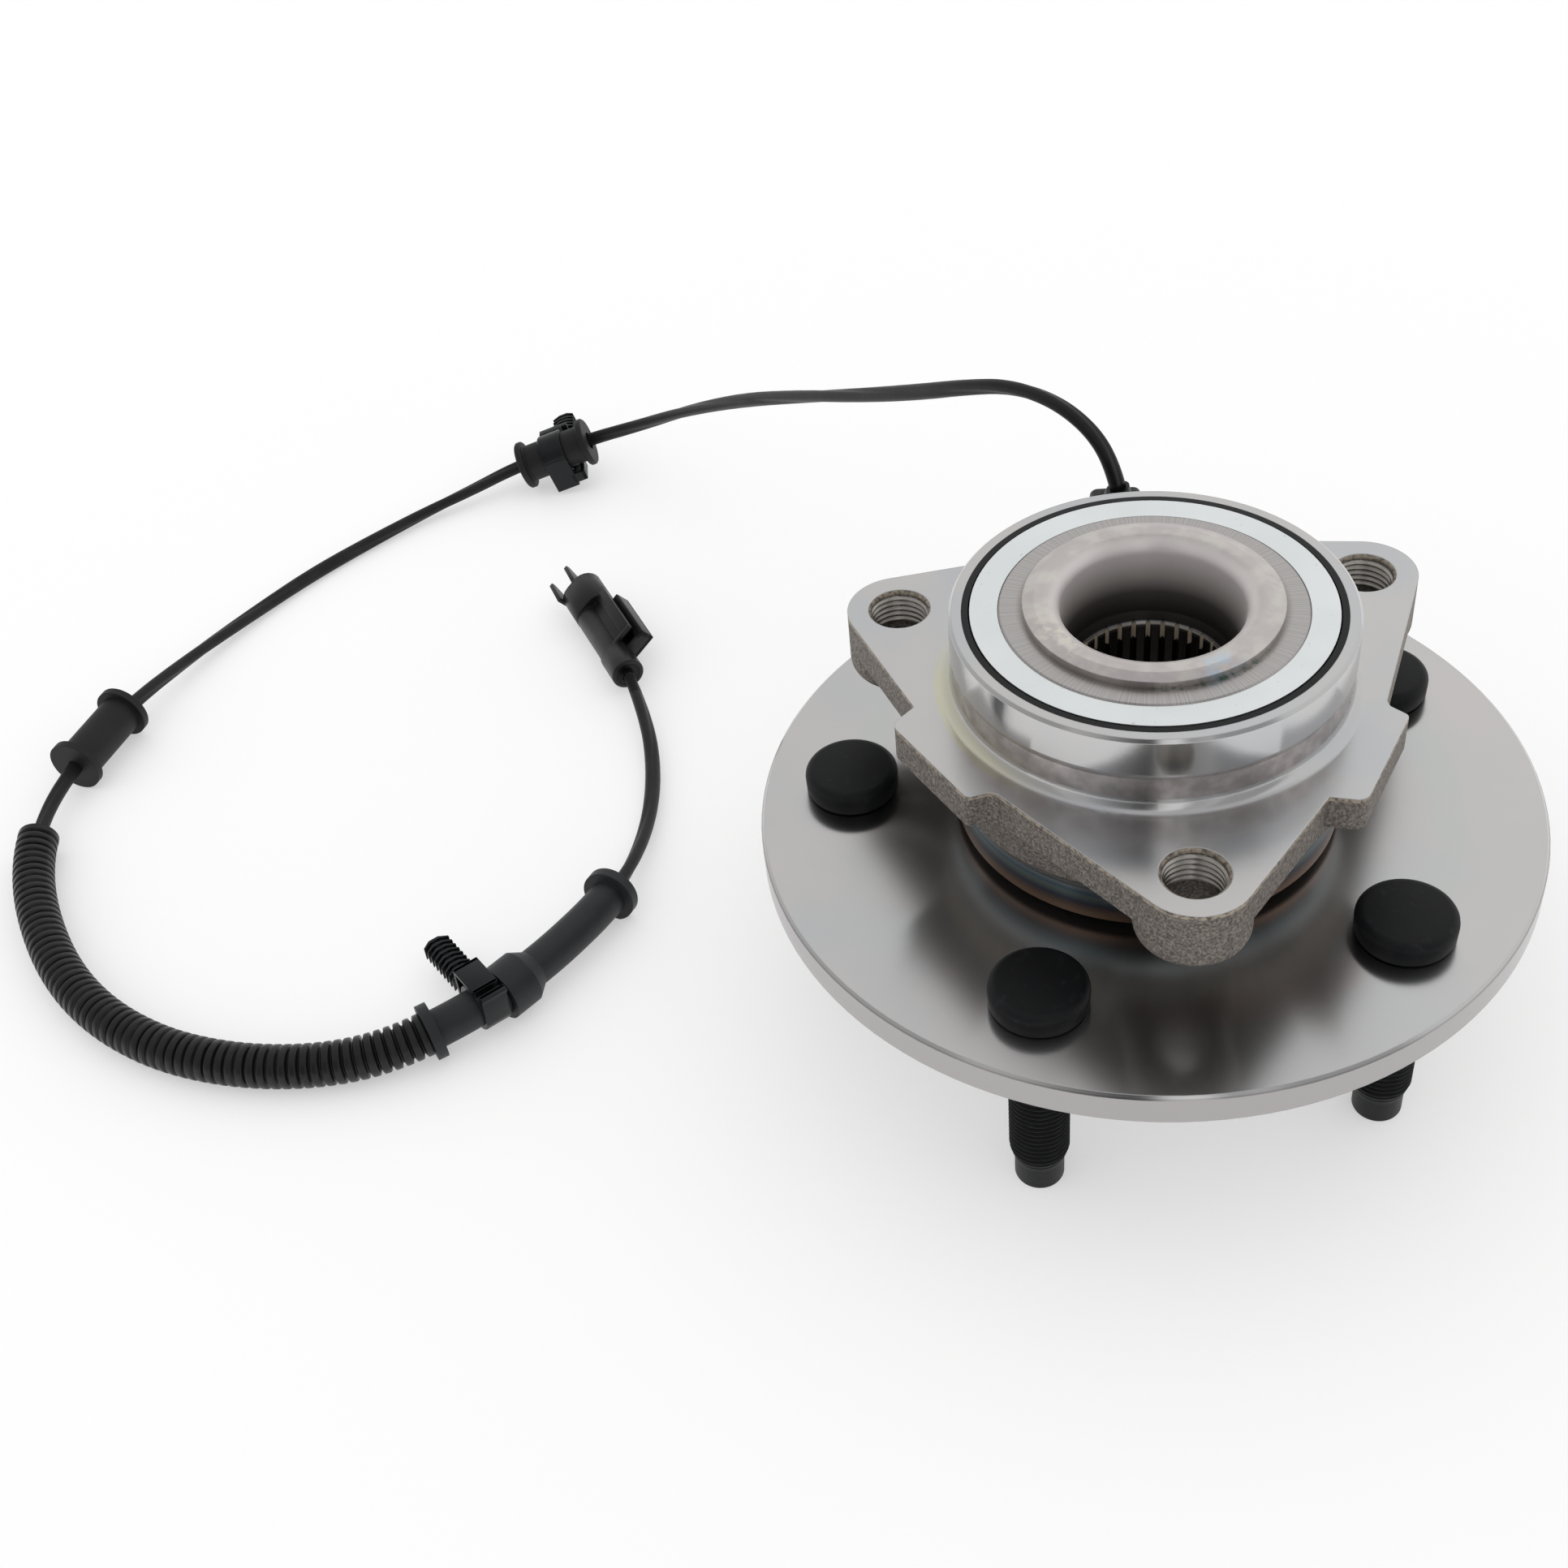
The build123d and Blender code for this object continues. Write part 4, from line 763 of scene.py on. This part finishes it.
# %% [markdown]
# ## The conduit
# A corrugated sleeve guards the lead where stones could hit it. Its ribs let it bend. The
# middle line is cut out of the lead's own points, and a round outline is swept along it
# with a width that follows the distance travelled: wide on the rib, narrow in the groove.

# %% The corrugated sleeve
CONDUIT_R, GROOVE_R, RIB_PITCH, RIB_SHARE = 5.7, 4.5, 2.7, 0.8
RIB_STEP, END_RING = 0.22, 1.6
CONDUIT_RUNS = (22, 31)


def middle_of_run(run):
    first, second = (Vector(point) for point in ROUTE[run:run + 2])
    return (first + second) * 0.5 * MM


def nearest(points, place):
    return min(range(len(points)), key=lambda number: (points[number] - place).length)


first_point, last_point = (nearest(lead_points, middle_of_run(run)) for run in CONDUIT_RUNS)
middle_line = bpy.data.meshes.new("conduit_line")
conduit_points = lead_points[first_point:last_point + 1]
middle_line.from_pydata(conduit_points, [(n, n + 1) for n in range(len(conduit_points) - 1)], [])

conduit_tree = Pattern(
    "conduit_pattern", Pitch=RIB_PITCH * MM, Crest=CONDUIT_R * MM, Groove=GROOVE_R * MM,
    Share=RIB_SHARE, Step=RIB_STEP * MM)
line = conduit_tree.node("GeometryNodeMeshToCurve", None, {0: conduit_tree.base})
line = conduit_tree.node("GeometryNodeResampleCurve", {"mode": "LENGTH"}, {
    "Curve": line, "Length": conduit_tree.size["Step"]})
travelled = conduit_tree.node("GeometryNodeSplineParameter", out="Length")
phase = conduit_tree.math("FRACT", travelled / conduit_tree.size["Pitch"])
half_rib = conduit_tree.size["Share"] * 0.5
crown = conduit_tree.math("ABSOLUTE", phase - half_rib) / half_rib
rise = conduit_tree.math("SQRT", conduit_tree.math("MAXIMUM", 0.0, 1 - crown ** 6))
end_ring = 1 - conduit_tree.between(travelled, END_RING * MM, (END_RING + 0.2) * MM)
depth = conduit_tree.size["Crest"] - conduit_tree.size["Groove"]
width = conduit_tree.size["Groove"] + depth * conduit_tree.math("MAXIMUM", rise, end_ring)
circle = conduit_tree.node("GeometryNodeCurvePrimitiveCircle", None, {
    "Resolution": 40, "Radius": 1.0})
swept = conduit_tree.node("GeometryNodeCurveToMesh", None, {
    "Curve": line, "Profile Curve": circle, "Scale": width, "Fill Caps": True})
ribbed_conduit = conduit_tree.run(
    "ribbed_conduit", middle_line, swept, SLOT_FINISH["conduit_plastic"])
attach(ribbed_conduit, "knuckle_side")
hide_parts("conduit")

# %% [markdown]
# ## Clips, first grommet and connector
# These are injection mouldings: thin walls, boxes and turned forms that meet at rounded
# edges. Each is collected from closed forms in its own small frame on the lead, in
# millimetres, where Z follows the lead and Y points down. The solids have them plainer.

# %% A frame on the lead, and a moulding
def lead_frame(run, across=0.0, down=0.0, along=0.0):
    """Where a piece sits on a run of the route."""
    first, second = (Vector(point) for point in ROUTE[run:run + 2])
    forward = (second - first).normalized()
    side = forward.cross(Vector((0, 0, 1))).normalized()
    below = forward.cross(side)
    origin = (first + second) / 2 + side * across + below * down + forward * along
    return square_to(origin, side, below, forward)


def square_to(origin, x_axis, y_axis, z_axis):
    """A matrix with those axes at that point, in metres from millimetres."""
    columns = Matrix((x_axis, y_axis, z_axis)).transposed().to_4x4()
    return Matrix.Translation(origin * MM) @ columns @ Matrix.Scale(MM, 4)


class Moulding:
    """Closed forms in a local frame that become one piece."""

    def __init__(self, name, local):
        self.name, self.local = name, local
        self.shape = bmesh.new()

    def add(self, form, soft=0.0):
        if soft:
            bmesh.ops.bevel(
                form, geom=form.edges[:], offset=soft, segments=2, profile=0.5, affect="EDGES")
        mesh = bpy.data.meshes.new("form")
        bmesh.ops.recalc_face_normals(form, faces=form.faces)
        form.to_mesh(mesh)
        form.free()
        self.shape.from_mesh(mesh)

    def block(self, low, high, soft=0.3):
        form = bmesh.new()
        bmesh.ops.create_cube(form, size=1.0)
        for vertex in form.verts:
            for axis in range(3):
                middle = (low[axis] + high[axis]) / 2
                vertex.co[axis] = middle + vertex.co[axis] * (high[axis] - low[axis])
        self.add(form, soft)

    def turned(self, outline, steps=48):
        """A ring or a disc about Z from a closed half outline."""
        form = bmesh.new()
        turns = [2 * pi * n / steps for n in range(steps)]
        rings = [[form.verts.new((radius * cos(turn), radius * sin(turn), z)) for turn in turns]
                 for radius, z in outline]
        for low, high in zip(rings, rings[1:] + rings[:1]):
            for n in range(steps):
                form.faces.new((low[n], low[(n + 1) % steps], high[(n + 1) % steps], high[n]))
        self.add(form)

    def prism(self, corners, low, high, axis=1, soft=0.0):
        """A flat outline given a thickness along one axis."""
        form = bmesh.new()
        caps = [[form.verts.new((*pair[:axis], level, *pair[axis:])) for pair in corners]
                for level in (low, high)]
        form.faces.new(caps[0])
        form.faces.new(caps[1])
        for n in range(len(corners)):
            after = (n + 1) % len(corners)
            form.faces.new((caps[0][n], caps[0][after], caps[1][after], caps[1][n]))
        self.add(form, soft)

    def done(self, finish, *replaced):
        mesh = bpy.data.meshes.new(self.name)
        self.shape.to_mesh(mesh)
        self.shape.free()
        mesh.transform(self.local)
        piece = place_mesh(self.name, mesh, SLOT_FINISH[finish])
        mesh.set_sharp_from_angle(angle=radians(42))
        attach(piece, "knuckle_side")
        if replaced:
            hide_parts(*replaced)
        print(self.name, "has", len(mesh.polygons), "faces")
        return piece


def band(inner_r, outer_r, half, soft):
    """The half outline of a band with softened outer edges."""
    return [(inner_r, -half), (outer_r - soft, -half), (outer_r, soft - half),
            (outer_r, half - soft), (outer_r - soft, half), (inner_r, half)]


# %% The first grommet and its clip
GROMMET_R, GROMMET_BODY_R, GROMMET_HALF, FLANGE_THICK = 8.1, 6.2, 12.4, 2.2
HOLE_R, HOLE_DEPTH, NEARLY_AXIS = 2.9, 3, 0.05
BAND_R, BAND_HALF = 7.3, 4.0
GROMMET_RUN = 12
grommet_frame = lead_frame(GROMMET_RUN, across=-2.9, down=-1.05, along=-2.25)

rubber = Moulding("grommet_1_rubber", grommet_frame)
inner = GROMMET_HALF - FLANGE_THICK
lower = [
    (HOLE_R, -GROMMET_HALF), (GROMMET_R - 0.5, -GROMMET_HALF), (GROMMET_R, 0.5 - GROMMET_HALF),
    (GROMMET_R, -inner - 0.4), (GROMMET_R - 0.4, -inner), (GROMMET_BODY_R + 0.3, -inner),
    (GROMMET_BODY_R, 0.3 - inner)]
upper = [(radius, -z) for radius, z in reversed(lower)]
deep = GROMMET_HALF - HOLE_DEPTH
rubber.turned([*lower, *upper, (HOLE_R, deep), (NEARLY_AXIS, deep), (NEARLY_AXIS, -deep),
               (HOLE_R, -deep)])
grommet_1 = rubber.done("grommet_rubber", "grommet_1")

clip = Moulding("clip_1_body", grommet_frame)
clip.turned(band(GROMMET_BODY_R - 0.1, BAND_R, BAND_HALF, 0.25))
for low, high in (
        ((-7.3, -1.3, -4.0), (-5.9, 10.5, 4.0)), ((-7.3, 5.8, -7.6), (-5.9, 9.4, -3.6)),
        ((-7.3, 5.8, -7.6), (0.8, 9.4, -6.2)), ((-0.6, 5.8, -7.6), (0.8, 9.4, -2.6)),
        ((-7.3, 5.8, -4.0), (0.8, 9.4, -2.6)), ((5.6, -5.4, -4.0), (8.6, 5.4, 4.0)),
        ((8.2, -4.4, -5.7), (9.9, 4.4, 2.0))):
    clip.block(low, high)
clip_1 = clip.done("clip_plastic", "clip_1")

# %% The blades of the push-in posts
POST_R, FIN_R, FIN_SWEEP, FIN_PITCH = 1.4, 3.7, 1.5, 1.85
FIN_HALF_WIDTH, FIN_TIP_THICK, FIN_ROOT_LOW, FIN_ROOT_HIGH = 1.9, 0.45, -0.75, 0.1


def fin_mesh():
    """One thin blade, swept back on both sides of the post, and a stretch of the post itself."""
    fin = Moulding("fin", Matrix.Identity(4))
    tip_low = -FIN_SWEEP - FIN_TIP_THICK
    fin.prism([
        (-FIN_R, -FIN_SWEEP), (-POST_R, FIN_ROOT_HIGH), (POST_R, FIN_ROOT_HIGH),
        (FIN_R, -FIN_SWEEP), (FIN_R, tip_low), (POST_R, FIN_ROOT_LOW), (-POST_R, FIN_ROOT_LOW),
        (-FIN_R, tip_low)], -FIN_HALF_WIDTH, FIN_HALF_WIDTH)
    mesh = bpy.data.meshes.new("fin")
    fin.shape.to_mesh(mesh)
    fin.shape.free()
    return mesh


def post(name, local, length, count):
    """A post with blades repeated along it by Geometry Nodes, then moved to its clip."""
    tree = Pattern(name + "_pattern", Pitch=FIN_PITCH)
    stack = tree.node("GeometryNodeMeshLine", {"mode": "OFFSET"}, {
        "Count": count, "Start Location": (0.0, 0.0, length),
        "Offset": tree.node("ShaderNodeCombineXYZ", None, {"Z": tree.size["Pitch"] * -1})})
    fins = tree.node("GeometryNodeInstanceOnPoints", None, {"Points": stack, "Instance": tree.base})
    core = tree.node("GeometryNodeMeshCylinder", None, {
        "Vertices": 20, "Radius": POST_R, "Depth": length}, "Mesh")
    core = tree.node("GeometryNodeTransform", None, {
        "Geometry": core, "Translation": (0.0, 0.0, length / 2)})
    piece = tree.run(name, fin_mesh(), tree.join(fins, core), SLOT_FINISH["clip_plastic"])
    piece.data.transform(local)
    piece.data.set_sharp_from_angle(angle=radians(42))
    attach(piece, "knuckle_side")
    return piece


def turned_frame(local, origin, x_axis, z_axis):
    """A frame inside another one, both in millimetres."""
    x_axis, z_axis = Vector(x_axis), Vector(z_axis)
    columns = Matrix((x_axis, z_axis.cross(x_axis), z_axis)).transposed().to_4x4()
    return local @ Matrix.Translation(origin) @ columns


clip_1_post = post("clip_1_post", turned_frame(
    grommet_frame, (9.4, 0, -3.4), (0, 0, 1), (1, 0, 0)), length=10.6, count=5)

# %% The second clip
CLAMP_RUN, SLEEVE_R, CLAMP_R, CLAMP_HALF = 32, 5.1, 6.4, 3.65

clamp_frame = lead_frame(CLAMP_RUN, along=2.3)
clamp = Moulding("clip_2_body", clamp_frame)
clamp.turned(band(SLEEVE_R - 0.1, CLAMP_R, CLAMP_HALF, 0.2))
for low, high in (
        ((-8.3, -7.6), (2.6, -6.3)), ((-8.3, -7.6), (-7.0, 1.0)), ((1.3, -7.6), (2.6, -5.2)),
        ((-8.3, -0.3), (-5.0, 1.0)), ((5.2, -8.5), (6.5, 1.6)), ((5.2, -8.5), (7.3, -7.2))):
    clamp.block((*low, -CLAMP_HALF), (*high, CLAMP_HALF))
clip_2 = clamp.done("clip_plastic", "clip_2")
clip_2_post = post("clip_2_post", turned_frame(
    clamp_frame, (-7.6, 0, 0), (0, 0, 1), (-1, 0, 0)), length=19.2, count=9)

# %% The connector
CONNECTOR_MOUTH = Vector((-195.8, 125.8, 7.4))
CONNECTOR_ROLL = radians(-40)
MOUTH_START, MOUTH_END, MOUTH_SHIFT = 32.0, 45.0, 2.4

rear = Vector(ROUTE[-1])
forward = (CONNECTOR_MOUTH - rear).normalized()
side = forward.cross(Vector((0, 0, 1))).normalized()
side = Matrix.Rotation(CONNECTOR_ROLL, 3, forward) @ side
connector_frame = square_to(rear, side, forward.cross(side), forward)


def oval(width, height, steps=12):
    """The outline of a slot with round ends."""
    reach, end = (width - height) / 2, height / 2
    outline = []
    for sign, start in ((1, -pi / 2), (-1, pi / 2)):
        for step in range(steps + 1):
            turn = start + pi * step / steps
            outline.append((sign * reach + end * cos(turn), end * sin(turn)))
    return outline


def socket_wall(moulding):
    """The collar round the contacts: an oval tube with a floor."""
    form = bmesh.new()
    rings = []
    for width, height, z in (
            (13.4, 10.0, MOUTH_START), (14.0, 10.6, MOUTH_START + 0.4),
            (14.0, 10.6, MOUTH_END - 0.3), (13.6, 10.2, MOUTH_END),
            (11.6, 8.2, MOUTH_END), (11.4, 8.0, MOUTH_END - 11)):
        rings.append([form.verts.new((x + MOUTH_SHIFT, y, z)) for x, y in oval(width, height)])
    for low, high in zip(rings, rings[1:]):
        for n in range(len(low)):
            after = (n + 1) % len(low)
            form.faces.new((low[n], low[after], high[after], high[n]))
    form.faces.new(rings[0])
    form.faces.new(rings[-1])
    moulding.add(form)


housing = Moulding("connector_shell", connector_frame)
housing.turned([
    (3.6, 0), (4.6, 0), (5.0, 0.4), (5.0, 10.4), (4.5, 11), (4.5, 33), (NEARLY_AXIS, 33),
    (NEARLY_AXIS, 6), (3.6, 6)])
socket_wall(housing)
EAR_OUTLINE, EAR_HALF = [(-5.3, 44), (1.7, 44), (-2.8, 54.4), (-4.2, 54.4)], 0.7
for offset in (-3.7, 3.7):
    housing.prism(EAR_OUTLINE, offset - EAR_HALF, offset + EAR_HALF, axis=0, soft=0.25)
for low, high, soft in (
        ((6.4, -3.4, 12.0), (10.3, -1.9, 33.0), 0.3), ((0.0, -3.4, 10.5), (10.3, -1.9, 12.0), 0.3),
        ((3.0, -2.6, 11.5), (6.9, -1.9, 33.0), 0.2), ((0.0, 3.4, 8.0), (11.7, 4.8, 29.6), 0.3),
        ((0.0, -0.4, 8.0), (11.7, 4.8, 9.4), 0.3), ((10.0, -0.4, 8.0), (11.7, 4.8, 29.6), 0.3),
        ((8.7, -0.4, 8.0), (11.7, 1.0, 29.6), 0.3)):
    housing.block(low, high, soft)
connector_shell = housing.done("sensor_plastic", "connector_housing")

# %% [markdown]
# ## What sits on the lead
# The pieces that sit on the lead are gathered in one list.

# %% The pieces on the lead
on_the_lead = [solids[name] for name in (
    "cable_gland", "grommet_2", "grommet_3", "connector_rear_seal", "connector_terminals")]
on_the_lead += [grommet_1, clip_1, clip_1_post, clip_2, clip_2_post, connector_shell]

# %% [markdown]
# ## Floor and light
# The part lies on a white sweep. The floor shines back as much as white card does, and a
# camera ray sees it a little lighter, so it comes out white and still keeps the soft shadow.
# Bare steel shows only what it reflects, so the sky is a studio: bright above, with a dark
# opening behind the camera and softboxes beside it.

# %% The floor
floor_mesh = bpy.data.meshes.new("floor")
FLOOR_HALF = 6
floor_mesh.from_pydata(
    [(x * FLOOR_HALF, y * FLOOR_HALF, 0) for x, y in ((-1, -1), (1, -1), (1, 1), (-1, 1))], [],
    [(0, 1, 2, 3)])
floor_object = bpy.data.objects.new("floor", floor_mesh)
bpy.context.scene.collection.objects.link(floor_object)

card = Finish("white_card")
camera_ray, mirror_ray, clear_ray = (
    card.node("ShaderNodeLightPath", out=ray) for ray in (
        "Is Camera Ray", "Is Glossy Ray", "Is Transmission Ray"))
seen = card.math("MAXIMUM", camera_ray, card.math("MAXIMUM", mirror_ray, clear_ray))
card_tone = card.blend(seen, (0.72, 0.72, 0.72), (1.0, 1.0, 1.0))
sheet = card.node("ShaderNodeBsdfDiffuse", None, {"Color": card_tone})
glow = card.node("ShaderNodeEmission", None, {"Color": (1.0, 1.0, 1.0, 1.0), "Strength": 1.0})
lit = card.node("ShaderNodeMixShader", None, {0: seen * 0.4, 1: sheet, 2: glow})
card.end("ShaderNodeOutputMaterial", lit)
floor_mesh.materials.append(card.material)

# %% The studio around the part
world = bpy.data.worlds.new("studio")
bpy.context.scene.world = world
world.use_nodes = True
sky = Tree(world.node_tree)
sky.tree.nodes.clear()
east, north, high = sky.parts(sky.node("ShaderNodeTexCoord", out="Generated"))
bearing = (sky.math("ARCTAN2", north, east) / (2 * pi)) + 0.5

# Brightness around the horizon, by compass degree from the X axis
STUDIO = [
    (-180, 0.55), (-173, 0.5), (-134, 0.42), (-129, 0.6), (-115, 0.5), (-105, 0.34), (-96, 0.2),
    (-85, 0.06), (-80, 0.08), (-76, 0.9), (-66, 1.0), (-60, 0.42), (-48, 0.62), (-44, 0.42),
    (-16, 0.42), (-8, 0.8), (60, 0.85), (85, 0.9), (180, 0.55)]
around_sky = sky.ramp(bearing, [(0.5 + degree / 360, tone) for degree, tone in STUDIO])
panels = sky.blend(sky.between(high, 0.78, 0.90), around_sky, (0.6, 0.6, 0.61))
shown = sky.blend(sky.node("ShaderNodeLightPath", out="Is Glossy Ray"), (1.0, 1.0, 1.0), panels)
light = sky.node("ShaderNodeBackground", None, {"Color": shown, "Strength": 1.0})
sky.end("ShaderNodeOutputWorld", light)

bpy.context.scene.view_settings.view_transform = "Standard"
